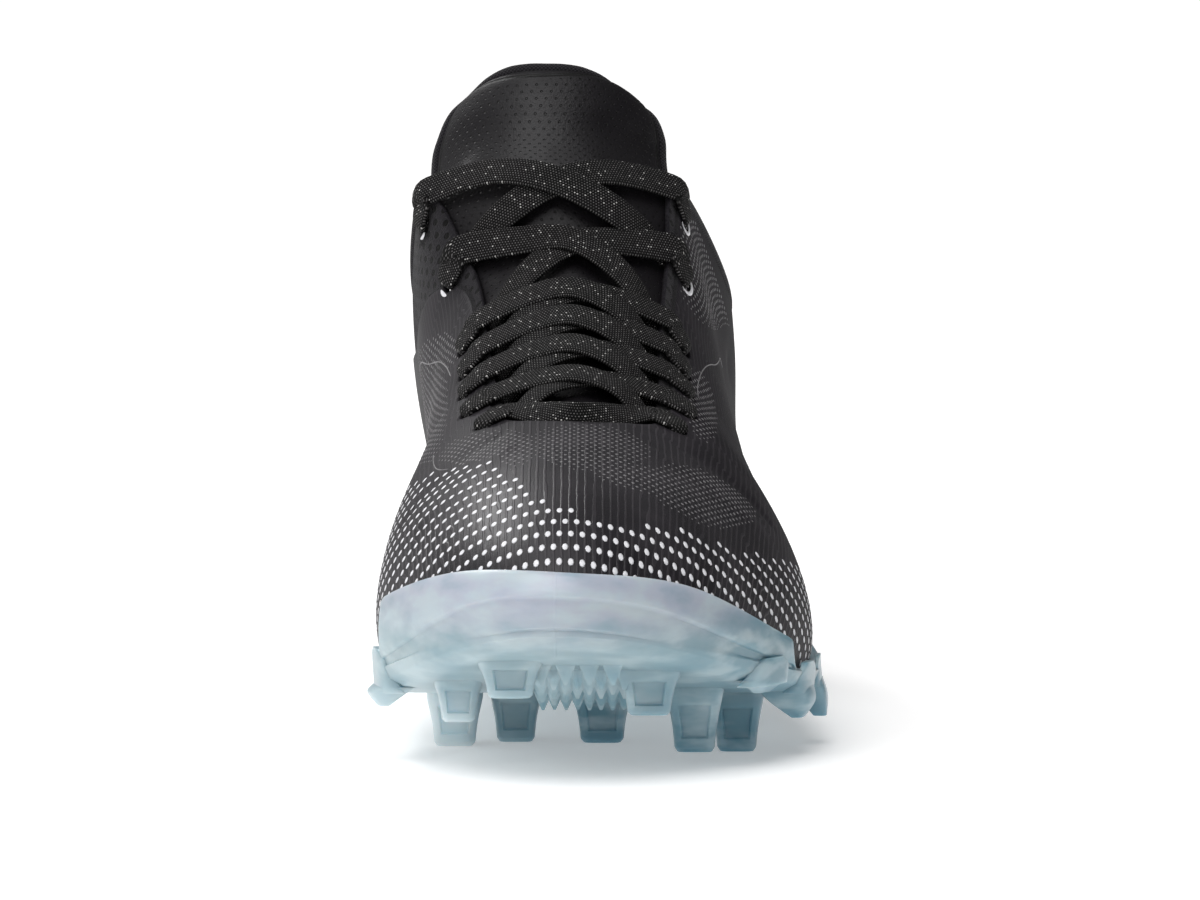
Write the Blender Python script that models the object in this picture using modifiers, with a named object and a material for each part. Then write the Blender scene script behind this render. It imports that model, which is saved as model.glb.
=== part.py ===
"""Left lacrosse cleat: moulded stud plate, hollow upper, tongue, footbed and lace.

The toe points to -Y, the lateral side to +X, and the studs stand on Z = 0.
Sizes are in millimetres, and each mesh is scaled to metres when it is made.
"""

import math
from collections import namedtuple

import bmesh
import bpy
from mathutils import Vector

MM = 0.001
UP = Vector((0.0, 0.0, 1.0))

# Step for slopes that are measured between two close points
NUDGE = 0.01

# Driving sizes of the shoe
LENGTH = 292.0
BALL_WIDTH = 102.0
THROAT_HEIGHT = 124.0

# Sizes of the last that the section table is drawn on
DRAWN_LENGTH = 292.0
DRAWN_BALL_WIDTH = 102.0
DRAWN_THROAT_HEIGHT = 124.0

# Upper
WALL = 2.0
GAP = 0.3
COLLAR_STEP = 0.7
STEP_RUN = 0.012
SKIN_RINGS = 7
LINING_RINGS = 7
SPOKES_PER_SECTION = 4
STEP_SECTION = 2
STEP_HALF_WIDTH = 0.04

# Outsole
RIM_THICKNESS = 1.6
GUARD_THICKNESS = 2.4
RIDGE_REACH = 3.6
SIDE_REACH = 2.6
RIDGE_RISE = 0.8
BOTTOM_INSET = 4.0
BOTTOM_ROUND = 2.0
STRIP_POINTS = 5

# Footbed
INSOLE_THICKNESS = 3.0
INSOLE_INSET = 2.5

# Tongue
TONGUE_THICKNESS = 3.4
TONGUE_CLEARANCE = 0.8
TONGUE_ARCH = 0.16
TONGUE_TUCK = (13.0, 6.5)
TONGUE_FRONT_SPOKE = 0.75
TONGUE_TOP_SPOKE = 5.75
TONGUE_ROWS = 21
TONGUE_ACROSS = (0.25, 0.5, 0.75)
TONGUE_SHOULDER = 3.0

# Lacing
EYELET_SPOKES = (2.2, 3.0, 3.5, 3.9, 4.3, 5.2, 5.8)
EYELET_INSET = 8.5
EYELET_DIAMETER = 4.4
EYELET_SIDES = 10
LACE_WIDTH = 7.6
LACE_THICKNESS = 1.5
LACE_CLEARANCE = 0.7
LACE_STAGGER = 0.5
LACE_STEPS = 12

Section = namedtuple(
    "Section",
    "name foot_x foot_y foot_z bulge rise edge_x edge_y edge_z lead_x lead_y lead_z skin rim guard",
)

# One row for each section of the last, from the toe round the lateral side, heel and medial side.
# foot: feather line, edge: throat or topline, bulge and rise: how the wall leaves the sole,
# lead: how it reaches the edge, skin: share of the wall under the skin layer,
# rim: height of the low rim, guard: height of the toe guard.
SECTIONS = (
    Section("toe_tip", -9, -140, 34.5, 8, 18, -6, -53, 75.5, 0, -56, -6, 0.97, 40, 47.4),
    Section("lateral_toe", 17, -125, 29.5, 8, 18, 4, -52, 75, 10, -44, -6, 0.97, 34, 43.0),
    Section("lateral_step", 41, -86, 19.5, 8, 17, 11, -46, 74.5, 18, -16, -5, 0.96, 20.5, 27.5),
    Section("lateral_ball", 47.5, -50, 16.5, 8, 16, 14, -33, 78.5, 20, -6, -8, 0.95, 18.5, 21),
    Section("lateral_waist_front", 45, -10, 18.5, 5, 22, 15, -9, 90, 13, -2, -16, 0.95, 22, 22),
    Section("lateral_waist", 39, 25, 20, 3, 28, 17, 16, 105, 10, 0, -20, 0.95, 25, 25),
    Section("lateral_throat_top", 35, 50, 20.5, 1, 32, 19, 36, 124, 8, 3, -26, 0.94, 27, 27),
    Section("lateral_ankle", 31, 88, 20.5, 4, 25, 32, 82, 94, 2, 0, -22, 0.93, 28, 28),
    Section("lateral_heel", 19, 126, 20.5, 8, 20, 13, 120, 98, 6, 7, -28, 0.88, 31, 31),
    Section("heel_back", -5, 138.2, 21, 9, 20, -5, 130, 102, 0, 9, -32, 0.84, 34, 34),
    Section("medial_heel", -28, 126, 20.5, 8, 20, -24, 120, 98, -6, 7, -28, 0.80, 31, 31),
    Section("medial_ankle", -37.5, 88, 21, 3, 25, -44, 82, 94, -2.5, 0, -22, 0.74, 28, 28),
    Section("medial_throat_top", -38, 50, 22, 1, 32, -43, 38, 123, -6, 3, -26, 0.60, 27, 27),
    Section("medial_waist", -39, 22, 22.5, 4, 28, -31, 14, 105, -12, 0, -20, 0.93, 27, 27),
    Section("medial_waist_front", -44, -15, 19.5, 6, 24, -27, -10, 90, -15, -2, -16, 0.95, 24, 24),
    Section("medial_ball", -47.5, -58, 16.5, 11, 18, -24, -33, 79, -20, -6, -8, 0.96, 19, 26),
    Section("medial_step", -45.5, -93, 21, 10, 18, -20, -47, 75.5, -18, -18, -5, 0.96, 24, 37),
    Section("medial_toe", -30, -127, 30.5, 8, 18, -14, -52, 75.5, -10, -44, -6, 0.97, 35, 46.0),
)

Station = namedtuple("Station", "y z")

# Underside of the plate along the foot, from toe spring over ball and arch to the heel
UNDERSIDE = (
    Station(-146, 33.0),
    Station(-125, 26.4),
    Station(-105, 20.2),
    Station(-85, 15.4),
    Station(-60, 12.8),
    Station(-30, 12.6),
    Station(0, 14.2),
    Station(30, 16.0),
    Station(60, 15.2),
    Station(90, 14.2),
    Station(120, 14.2),
    Station(146, 15.5),
)

TongueRow = namedtuple("TongueRow", "name y z left_x right_x wrap drop")

# Rows of the tongue that stand free above the top eyelets
TONGUE_TOP = (
    TongueRow("above_eyelets", 32, 136, -40.5, 16, 14, 8),
    TongueRow("neck", 37, 144, -39, 15.5, 12, 9),
    TongueRow("shoulder", 40.5, 149.5, -36.5, 13, 11, 9),
    TongueRow("crest", 43, 152.5, -32.5, 7, 8, 8),
)

Stud = namedtuple("Stud", "name x y tip_z width depth flare")

STUDS = (
    Stud("toe_medial", -20, -122, 17.0, 10.2, 8.0, 1.6),
    Stud("toe_lateral", 11, -112, 12.0, 9.8, 8.0, 1.6),
    Stud("side_medial", -32, -98, 9.0, 7.6, 11.0, 1.6),
    Stud("side_lateral", 21.5, -88, 2.5, 9.4, 10.0, 1.5),
    Stud("ball_medial", -33.5, -56, 0.0, 9.8, 11.0, 1.4),
    Stud("ball_inner", -19.5, -48, 0.0, 9.0, 10.0, 1.3),
    Stud("ball_middle", 0.5, -50, 0.0, 10.2, 10.0, 1.4),
    Stud("ball_lateral", 31.4, -66, 0.0, 9.2, 11.0, 1.5),
    Stud("heel_front_medial", -24, 76, 0.0, 10.0, 13.0, 1.4),
    Stud("heel_front_lateral", 16, 76, 0.0, 10.0, 13.0, 1.4),
    Stud("heel_back_medial", -22, 117, 0.0, 10.0, 13.0, 1.4),
    Stud("heel_back_lateral", 12, 117, 0.0, 10.0, 13.0, 1.4),
)
STUD_SINK = 1.2
STUD_NECK = 0.45
STUD_NECK_WIDTH = 1.12
STUD_CORNER = 0.25

Fin = namedtuple(
    "Fin", "name y length web_z web_out top_z top_in top_out knee_z knee_in knee_out tip_z tip_in tip_out"
)

# Blades that hang from the sides of the plate, drawn by their inner and outer X at three heights,
# with a thin web that carries each blade up the rim
FINS = (
    Fin("medial", -89, 13, 25.0, -51.3, 17.6, -42, -50.9, 15.8, -44.5, -52.6, 12.9, -48, -50.6),
    Fin("lateral_front", -99, 13, 24.0, 40.4, 20.2, 33, 40.2, 18.8, 34.5, 39.5, 17.0, 35.5, 37.5),
    Fin("lateral_middle", -77, 13, 20.5, 48.4, 16.2, 36, 48.2, 12.4, 39.5, 48.8, 8.8, 44, 46.6),
    Fin("lateral_back", -56, 14, 19.8, 50.9, 15.4, 42, 51.4, 11.5, 45.5, 52.6, 6.8, 49.2, 52.4),
)
FIN_WEB = 0.6
FIN_WEB_THICKNESS = 1.2
FIN_KNEE = 0.75
FIN_TIP = 0.35

# Sawtooth field under the ball
TOOTH_COLUMNS = 4
TOOTH_ROWS = 9
TOOTH_PITCH = 5.3
TOOTH_WIDTH = 4.8
TOOTH_HEIGHT = 4.0
TOOTH_SINK = 1.5
TOOTH_TIP_WIDTH = 0.6
TOOTH_START_X = -13.0
TOOTH_START_Y = -121.0

# Edges sharper than this stay crisp
SHARP_ANGLE = math.radians(40.0)

Finish = namedtuple("Finish", "color roughness")

FINISHES = {
    "upper": Finish((0.020, 0.018, 0.020), 0.42),
    "outsole": Finish((0.42, 0.56, 0.62), 0.30),
    "tongue": Finish((0.012, 0.012, 0.013), 0.55),
    "insole": Finish((0.030, 0.030, 0.033), 0.85),
    "lace": Finish((0.015, 0.015, 0.015), 0.80),
}


def spline(before, start, end, after, share):
    """Catmull-Rom value between start and end."""
    slope_start = (end - before) / 2.0
    slope_end = (after - start) / 2.0
    a = 2.0 * (start - end) + slope_start + slope_end
    b = 3.0 * (end - start) - 2.0 * slope_start - slope_end
    return ((a * share + b) * share + slope_start) * share + start


def section_at(spoke):
    """Blend the section table smoothly round the closed outline."""
    count = len(SECTIONS)
    first = math.floor(spoke)
    share = spoke - first
    rows = [SECTIONS[(first + step) % count] for step in (-1, 0, 1, 2)]
    values = [spline(*values, share) for values in zip(*(row[1:] for row in rows))]
    return Section("blend", *values)


def to_size(x, y, z):
    """Stretch a point of the drawn last to the driving sizes."""
    return Vector((
        x * BALL_WIDTH / DRAWN_BALL_WIDTH,
        y * LENGTH / DRAWN_LENGTH,
        z * THROAT_HEIGHT / DRAWN_THROAT_HEIGHT,
    ))


def feather_outward(spoke):
    """Horizontal direction that points away from the foot at the feather line."""
    before = section_at(spoke - NUDGE)
    after = section_at(spoke + NUDGE)
    along = Vector((after.foot_x - before.foot_x, after.foot_y - before.foot_y, 0.0))
    return along.cross(UP).normalized()


def wall_point(spoke, share):
    """Outer face of the upper: a Bezier wall from the feather line to the edge."""
    row = section_at(spoke)
    foot = to_size(row.foot_x, row.foot_y, row.foot_z)
    edge = to_size(row.edge_x, row.edge_y, row.edge_z)
    leave = foot + row.bulge * feather_outward(spoke) + row.rise * UP
    reach = edge + Vector((row.lead_x, row.lead_y, row.lead_z))
    rest = 1.0 - share
    return (
        foot * rest ** 3
        + leave * 3.0 * rest ** 2 * share
        + reach * 3.0 * rest * share ** 2
        + edge * share ** 3
    )


def wall_normal(spoke, share):
    """Outward direction of the upper's face."""
    low = max(share - NUDGE, 0.0)
    high = min(share + NUDGE, 1.0)
    around = wall_point(spoke + NUDGE, share) - wall_point(spoke - NUDGE, share)
    upward = wall_point(spoke, high) - wall_point(spoke, low)
    return around.cross(upward).normalized()


def wall_offset(spoke, share, distance):
    """Point at a distance outside the upper's face."""
    return wall_point(spoke, share) + distance * wall_normal(spoke, share)


def search_share(is_past):
    """Smallest share of a wall for which the test holds, by halving."""
    low = 0.0
    high = 1.0
    for _ in range(20):
        middle = (low + high) / 2.0
        if is_past(middle):
            high = middle
        else:
            low = middle
    return high


def share_at_height(spoke, height):
    return search_share(lambda share: wall_point(spoke, share).z >= height)


def share_below_edge(spoke, distance):
    edge = wall_point(spoke, 1.0)
    return search_share(lambda share: (wall_point(spoke, share) - edge).length <= distance)


def spoke_positions():
    """Evenly spread spokes, doubled where the toe guard steps down."""
    count = len(SECTIONS)
    steps = (STEP_SECTION, count - STEP_SECTION)
    spokes = []
    for index in range(count * SPOKES_PER_SECTION):
        spoke = index / SPOKES_PER_SECTION
        if spoke in steps:
            spokes.append(spoke - STEP_HALF_WIDTH)
            spokes.append(spoke + STEP_HALF_WIDTH)
        else:
            spokes.append(spoke)
    return spokes


def rim_share(spoke):
    """Share of the wall that the plate's rim covers."""
    row = section_at(spoke)
    in_front = spoke < STEP_SECTION or spoke > len(SECTIONS) - STEP_SECTION
    height = row.guard if in_front else row.rim
    return share_at_height(spoke, height * THROAT_HEIGHT / DRAWN_THROAT_HEIGHT)


def underside_height(y):
    """Height of the plate's underside at a place along the foot."""
    drawn_y = y * DRAWN_LENGTH / LENGTH
    last = len(UNDERSIDE) - 2
    index = sum(1 for station in UNDERSIDE[1:-1] if station.y <= drawn_y)
    index = min(index, last)
    start = UNDERSIDE[index]
    end = UNDERSIDE[index + 1]
    before = UNDERSIDE[max(index - 1, 0)]
    after = UNDERSIDE[min(index + 2, last + 1)]
    share = (drawn_y - start.y) / (end.y - start.y)
    return spline(before.z, start.z, end.z, after.z, share)


def bridge(bm, lower, upper, closed=True):
    """Quads between two rows of vertices."""
    count = len(lower)
    for index in range(count if closed else count - 1):
        after = (index + 1) % count
        bm.faces.new((lower[index], lower[after], upper[after], upper[index]))


def add_ring(bm, points):
    return [bm.verts.new(point * MM) for point in points]


def cap_by_strips(bm, ring, height_at=None):
    """Close a ring round the foot with strips from the medial to the lateral side."""
    count = len(ring)
    half = count // 2
    rows = []
    for index in range(1, half):
        lateral = ring[index]
        medial = ring[count - index]
        row = [lateral]
        for step in range(1, STRIP_POINTS + 1):
            point = lateral.co.lerp(medial.co, step / (STRIP_POINTS + 1))
            if height_at:
                point.z = height_at(point.y / MM) * MM
            row.append(bm.verts.new(point))
        row.append(medial)
        rows.append(row)
    for front, back in zip(rows, rows[1:]):
        bridge(bm, front, back, closed=False)
    for tip, row in ((ring[0], rows[0]), (ring[half], rows[-1])):
        for first, second in zip(row, row[1:]):
            bm.faces.new((tip, first, second))


def loft(bm, sections):
    """Closed body through sections with the same number of points."""
    rings = [add_ring(bm, section) for section in sections]
    for lower, upper in zip(rings, rings[1:]):
        bridge(bm, lower, upper)
    bm.faces.new(rings[0])
    bm.faces.new(rings[-1])


def make_material(name):
    finish = FINISHES[name]
    material = bpy.data.materials.new(name)
    material.use_nodes = True
    shader = material.node_tree.nodes["Principled BSDF"]
    shader.inputs["Base Color"].default_value = (*finish.color, 1.0)
    shader.inputs["Roughness"].default_value = finish.roughness
    shader.inputs["Metallic"].default_value = 0.0
    return material


def finish_object(name, bm, collection):
    """Turn a bmesh into a named object with outward faces."""
    bmesh.ops.recalc_face_normals(bm, faces=bm.faces)
    mesh = bpy.data.meshes.new(name)
    bm.to_mesh(mesh)
    bm.free()
    mesh.shade_smooth()
    mesh.set_sharp_from_angle(angle=SHARP_ANGLE)
    piece = bpy.data.objects.new(name, mesh)
    collection.objects.link(piece)
    return piece


def make_part(name, bm, parts):
    piece = finish_object(name, bm, parts)
    piece.data.materials.append(make_material(name))
    return piece


def make_cutter(name, bm, cutters):
    piece = finish_object(name, bm, cutters)
    piece.hide_render = True
    piece.display_type = "WIRE"
    return piece


def add_boolean(piece, tool, operation):
    modifier = piece.modifiers.new(tool.name, "BOOLEAN")
    modifier.operation = operation
    modifier.solver = "EXACT"
    modifier.object = tool


def eyelet_places():
    """Spoke and share of each punched eyelet, both sides of the throat."""
    places = []
    for near in EYELET_SPOKES:
        for spoke in (near, len(SECTIONS) - near):
            places.append((spoke, share_below_edge(spoke, EYELET_INSET)))
    return places


def build_upper(parts, cutters, spokes):
    """Hollow shell: up the outer face, over the edge and down the lining."""
    bm = bmesh.new()
    columns = []
    for spoke in spokes:
        rim = rim_share(spoke)
        skin = section_at(spoke).skin
        column = [wall_point(spoke, share) for share in (0.0, rim / 2.0, rim)]
        for step in range(1, SKIN_RINGS + 1):
            column.append(wall_point(spoke, rim + (skin - rim) * step / SKIN_RINGS))
        textile = skin + STEP_RUN
        for share in (textile, (textile + 1.0) / 2.0, 1.0):
            column.append(wall_offset(spoke, share, -COLLAR_STEP))
        for step in range(LINING_RINGS):
            column.append(wall_offset(spoke, 1.0 - step / (LINING_RINGS - 1), -WALL))
        columns.append(column)
    rings = [add_ring(bm, points) for points in zip(*columns)]
    for lower, upper in zip(rings, rings[1:] + rings[:1]):
        bridge(bm, lower, upper)
    upper = make_part("upper", bm, parts)

    punch = bmesh.new()
    for spoke, share in eyelet_places():
        turn = wall_normal(spoke, share).to_track_quat("Z", "Y").to_matrix().to_4x4()
        turn.translation = wall_point(spoke, share) * MM
        bmesh.ops.create_cone(
            punch,
            cap_ends=True,
            segments=EYELET_SIDES,
            radius1=EYELET_DIAMETER / 2.0 * MM,
            radius2=EYELET_DIAMETER / 2.0 * MM,
            depth=WALL * 4.0 * MM,
            matrix=turn,
        )
    add_boolean(upper, make_cutter("eyelet_punch", punch, cutters), "DIFFERENCE")
    return upper


def stud_section(stud, z, scale):
    """Block outline with cut corners."""
    half_x = stud.width / 2.0 * scale
    half_y = stud.depth / 2.0 * scale
    cut = STUD_CORNER * min(half_x, half_y)
    corners = (
        (half_x, half_y - cut), (half_x - cut, half_y),
        (cut - half_x, half_y), (-half_x, half_y - cut),
        (-half_x, cut - half_y), (cut - half_x, -half_y),
        (half_x - cut, -half_y), (half_x, cut - half_y),
    )
    return [Vector((stud.x + x, stud.y + y, z)) for x, y in corners]


def stud_root(stud):
    """Flared outline that follows the underside of the plate, a little inside it."""
    outline = stud_section(stud, 0.0, stud.flare)
    return [Vector((point.x, point.y, underside_height(point.y) + STUD_SINK)) for point in outline]


def build_studs(cutters):
    bm = bmesh.new()
    for stud in STUDS:
        root = underside_height(stud.y) + STUD_SINK
        neck = root + (stud.tip_z - root) * STUD_NECK
        loft(bm, (
            stud_section(stud, stud.tip_z, 1.0),
            stud_section(stud, neck, STUD_NECK_WIDTH),
            stud_root(stud),
        ))
    return make_cutter("studs", bm, cutters)


def level_rectangle(x_in, x_out, y, length, z):
    """Level rectangle between two X values."""
    half = length / 2.0
    return [Vector((x_in, y - half, z)), Vector((x_out, y - half, z)), Vector((x_out, y + half, z)),
            Vector((x_in, y + half, z))]


def build_fins(cutters):
    blades = bmesh.new()
    webs = bmesh.new()
    for fin in FINS:
        inward = math.copysign(FIN_WEB_THICKNESS, fin.top_out)
        length = fin.length * FIN_WEB
        loft(webs, (
            level_rectangle(fin.web_out - inward, fin.web_out, fin.y, length, fin.web_z),
            level_rectangle(fin.top_out - inward, fin.top_out, fin.y, length, fin.top_z - FIN_WEB_THICKNESS),
        ))
        loft(blades, (
            level_rectangle(fin.top_in, fin.top_out, fin.y, fin.length, fin.top_z),
            level_rectangle(fin.knee_in, fin.knee_out, fin.y, fin.length * FIN_KNEE, fin.knee_z),
            level_rectangle(fin.tip_in, fin.tip_out, fin.y, fin.length * FIN_TIP, fin.tip_z),
        ))
    return make_cutter("fins", blades, cutters), make_cutter("fin_webs", webs, cutters)


def square(x, y, width, z):
    half = width / 2.0
    return level_rectangle(x - half, x + half, y, width, z)


def build_teeth(cutters):
    bm = bmesh.new()
    for row in range(TOOTH_ROWS):
        for column in range(TOOTH_COLUMNS):
            x = TOOTH_START_X + (column + (row % 2) / 2.0) * TOOTH_PITCH
            y = TOOTH_START_Y + row * TOOTH_PITCH
            surface = underside_height(y)
            loft(bm, (
                square(x, y, TOOTH_WIDTH, surface + TOOTH_SINK),
                square(x, y, TOOTH_TIP_WIDTH, surface - TOOTH_HEIGHT),
            ))
    return make_cutter("sawtooth", bm, cutters)


def build_outsole(parts, cutters, spokes):
    """Plate with its rim, studs, fins and sawtooth field as one moulding."""
    bm = bmesh.new()
    columns = []
    for spoke in spokes:
        foot = wall_point(spoke, 0.0)
        out = feather_outward(spoke)
        rim = rim_share(spoke)
        bottom = foot - BOTTOM_INSET * out
        bottom.z = underside_height(bottom.y)
        side = foot + SIDE_REACH * out
        side.z = bottom.z + BOTTOM_ROUND
        columns.append([
            bottom,
            side,
            foot + RIDGE_REACH * out + RIDGE_RISE * UP,
            wall_offset(spoke, rim * 0.5, GUARD_THICKNESS + GAP),
            wall_offset(spoke, rim, RIM_THICKNESS + GAP),
            wall_offset(spoke, rim, GAP),
            wall_offset(spoke, rim / 2.0, GAP),
            wall_offset(spoke, 0.0, GAP) - GAP * UP,
        ])
    rings = [add_ring(bm, points) for points in zip(*columns)]
    for lower, upper in zip(rings, rings[1:]):
        bridge(bm, lower, upper)
    cap_by_strips(bm, rings[0], underside_height)
    cap_by_strips(bm, rings[-1])
    outsole = make_part("outsole", bm, parts)
    for tool in (build_studs(cutters), *build_fins(cutters), build_teeth(cutters)):
        add_boolean(outsole, tool, "UNION")
    return outsole


def build_insole(parts, spokes):
    """Footbed on the plate, inside the wall."""
    bm = bmesh.new()
    floor = []
    for spoke in spokes:
        floor.append(wall_point(spoke, 0.0) - INSOLE_INSET * feather_outward(spoke))
    lower = add_ring(bm, floor)
    upper = add_ring(bm, [point + INSOLE_THICKNESS * UP for point in floor])
    bridge(bm, lower, upper)
    cap_by_strips(bm, lower)
    cap_by_strips(bm, upper)
    return make_part("insole", bm, parts)


def throat_edges(spoke):
    """The two throat edges at a spoke, lowered to the tongue's face."""
    depth = -(WALL + TONGUE_CLEARANCE)
    return wall_offset(spoke, 1.0, depth), wall_offset(len(SECTIONS) - spoke, 1.0, depth)


def tongue_point(spoke, across):
    """Arched face of the tongue between the throat edges, 0 at the lateral edge."""
    lateral, medial = throat_edges(spoke)
    ahead = sum(throat_edges(spoke + NUDGE), Vector()) - sum(throat_edges(spoke - NUDGE), Vector())
    lift = ahead.cross(medial - lateral).normalized()
    arch = TONGUE_ARCH * (medial - lateral).length * 4.0 * across * (1.0 - across)
    return lateral.lerp(medial, across) + arch * lift


def tongue_row(spoke):
    """One row across the tongue, with its sides tucked under the eyestays."""
    depth = -(WALL + TONGUE_CLEARANCE)
    other = len(SECTIONS) - spoke
    row = [wall_offset(spoke, share_below_edge(spoke, tuck), depth) for tuck in TONGUE_TUCK]
    row.append(wall_offset(spoke, 1.0, depth))
    row.extend(tongue_point(spoke, across) for across in TONGUE_ACROSS)
    row.append(wall_offset(other, 1.0, depth))
    row.extend(wall_offset(other, share_below_edge(other, tuck), depth) for tuck in reversed(TONGUE_TUCK))
    return row


def tongue_top_row(shape, count):
    """One free row above the eyelets, wrapped round the ankle."""
    row = []
    for index in range(count):
        across = index / (count - 1)
        side = abs(2.0 * across - 1.0)
        x = shape.right_x + (shape.left_x - shape.right_x) * across
        y = shape.y + shape.wrap * side ** 2
        row.append(to_size(x, y, shape.z - shape.drop * side ** TONGUE_SHOULDER))
    return row


def build_tongue(parts):
    bm = bmesh.new()
    rows = []
    for index in range(TONGUE_ROWS):
        share = index / (TONGUE_ROWS - 1)
        rows.append(tongue_row(TONGUE_FRONT_SPOKE + (TONGUE_TOP_SPOKE - TONGUE_FRONT_SPOKE) * share))
    rows.extend(tongue_top_row(shape, len(rows[0])) for shape in TONGUE_TOP)
    lines = [add_ring(bm, row) for row in rows]
    for front, back in zip(lines, lines[1:]):
        bridge(bm, back, front, closed=False)
    tongue = make_part("tongue", bm, parts)
    modifier = tongue.modifiers.new("padding", "SOLIDIFY")
    modifier.thickness = TONGUE_THICKNESS * MM
    modifier.offset = -1.0
    return tongue


def strand_path(start, end, from_lateral, lift):
    """Points and normals of one strand from eyelet to eyelet over the tongue."""
    count = len(SECTIONS)
    first = start if from_lateral else count - start
    last = count - end if from_lateral else end
    height = LACE_CLEARANCE + LACE_THICKNESS / 2.0 + lift
    path = []
    for spoke in (first, last):
        eyelet = share_below_edge(spoke, EYELET_INSET)
        pair = [(wall_offset(spoke, share, height), wall_normal(spoke, share)) for share in (eyelet, 1.0)]
        path.append(pair)
    middle = []
    for step in TONGUE_ACROSS:
        spoke = start + (end - start) * step
        across = step if from_lateral else 1.0 - step
        ahead = tongue_point(spoke + NUDGE, across) - tongue_point(spoke - NUDGE, across)
        side = tongue_point(spoke, across + NUDGE) - tongue_point(spoke, across - NUDGE)
        normal = ahead.cross(side).normalized()
        middle.append((tongue_point(spoke, across) + (height + WALL) * normal, normal))
    return path[0] + middle + path[1][::-1]


def smooth_path(path):
    """Catmull-Rom points and normals through a strand's path."""
    last = len(path) - 1
    points = []
    for step in range(LACE_STEPS + 1):
        place = step * last / LACE_STEPS
        index = min(int(place), last - 1)
        picks = [path[min(max(index + shift, 0), last)] for shift in (-1, 0, 1, 2)]
        point, normal = (spline(*values, place - index) for values in zip(*picks))
        points.append((point, normal.normalized()))
    return points


def strap(bm, path):
    """Flat strap along a path."""
    points = smooth_path(path)
    sections = []
    for index, (point, normal) in enumerate(points):
        before = points[max(index - 1, 0)][0]
        after = points[min(index + 1, len(points) - 1)][0]
        side = (after - before).cross(normal).normalized() * LACE_WIDTH / 2.0
        half = normal * LACE_THICKNESS / 2.0
        sections.append([point - side - half, point + side - half, point + side + half, point - side + half])
    loft(bm, sections)


def build_lace(parts, cutters):
    """Lowest bar and the crossings above it, joined into one body."""
    base = bmesh.new()
    strap(base, strand_path(EYELET_SPOKES[0], EYELET_SPOKES[0], True, 0.0))
    lace = make_part("lace", base, parts)
    for row, (start, end) in enumerate(zip(EYELET_SPOKES, EYELET_SPOKES[1:])):
        for from_lateral in (True, False):
            lift = LACE_STAGGER * (1 + row % 2) if from_lateral else 0.0
            bm = bmesh.new()
            strap(bm, strand_path(start, end, from_lateral, lift))
            side = "lateral" if from_lateral else "medial"
            tool = make_cutter(f"strand_{row}_{side}", bm, cutters)
            add_boolean(lace, tool, "UNION")
    return lace


def clear_scene():
    for item in list(bpy.data.objects):
        bpy.data.objects.remove(item, do_unlink=True)


def make_collection(name):
    collection = bpy.data.collections.new(name)
    bpy.context.scene.collection.children.link(collection)
    return collection


def main():
    clear_scene()
    parts = make_collection("lacrosse_shoe")
    cutters = make_collection("cutters")
    spokes = spoke_positions()
    build_outsole(parts, cutters, spokes)
    build_upper(parts, cutters, spokes)
    build_insole(parts, spokes)
    build_tongue(parts)
    build_lace(parts, cutters)


main()
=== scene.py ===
"""Looks of the left lacrosse shoe: skin, prints, collar, lacing, tongue and stud plate.

The file is laid out as a Blender add-on and is run as a script. The toe points to -Y, the lateral
side to +X, and the studs stand on Z = 0. Tables and shapes are in millimetres, and each mesh is
scaled to metres when it is made.
"""

import math
from collections import namedtuple
from functools import partialmethod

import bmesh
import bpy
import numpy as np
from bpy.props import FloatProperty, FloatVectorProperty, PointerProperty
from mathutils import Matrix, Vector


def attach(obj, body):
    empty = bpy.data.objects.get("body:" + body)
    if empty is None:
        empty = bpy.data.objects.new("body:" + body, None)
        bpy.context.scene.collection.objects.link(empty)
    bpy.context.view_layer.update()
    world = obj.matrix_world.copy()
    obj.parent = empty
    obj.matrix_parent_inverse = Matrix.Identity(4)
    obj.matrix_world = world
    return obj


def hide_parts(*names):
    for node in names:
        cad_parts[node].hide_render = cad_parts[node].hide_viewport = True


bl_info = {
    "name": "Lacrosse shoe looks",
    "version": (1, 0, 0),
    "blender": (4, 5, 0),
    "location": "View3D > Sidebar > Shoe",
    "description": "Dresses the packed lacrosse shoe with its skin, prints, lacing and stud plate",
    "category": "Object",
}

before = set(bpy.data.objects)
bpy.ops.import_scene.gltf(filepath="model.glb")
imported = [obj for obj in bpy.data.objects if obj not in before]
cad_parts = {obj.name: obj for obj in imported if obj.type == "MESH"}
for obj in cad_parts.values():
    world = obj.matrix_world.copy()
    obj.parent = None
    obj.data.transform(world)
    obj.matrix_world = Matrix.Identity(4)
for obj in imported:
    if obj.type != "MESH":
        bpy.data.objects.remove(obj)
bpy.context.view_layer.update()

MM = 0.001
UP = np.array((0.0, 0.0, 1.0))
BODY = "root"

# Step for slopes that are measured between two close points, and halvings of a search along a wall
NUDGE = 0.01
HALVINGS = 24

# Frame of the photograph that the prints are placed by
PHOTO_WIDTH = 1200
PHOTO_HEIGHT = 900
SENSOR_WIDTH = 36.0

# Sizes of the solids, repeated from the part
WALL = 2.0
GAP = 0.3
COLLAR_STEP = 0.7
STEP_RUN = 0.012
STEP_SECTION = 2
TONGUE_CLEARANCE = 0.8
TONGUE_ARCH = 0.16
TONGUE_TUCK = (13.0, 6.5)
TONGUE_FRONT_SPOKE = 0.75
TONGUE_TOP_SPOKE = 5.75
TONGUE_ACROSS = (0.25, 0.5, 0.75)
TONGUE_SHOULDER = 3.0
EYELET_SPOKES = (2.2, 3.0, 3.5, 3.9, 4.3, 5.2, 5.8)
EYELET_INSET = 8.5
EYELET_DIAMETER = 4.4

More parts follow.
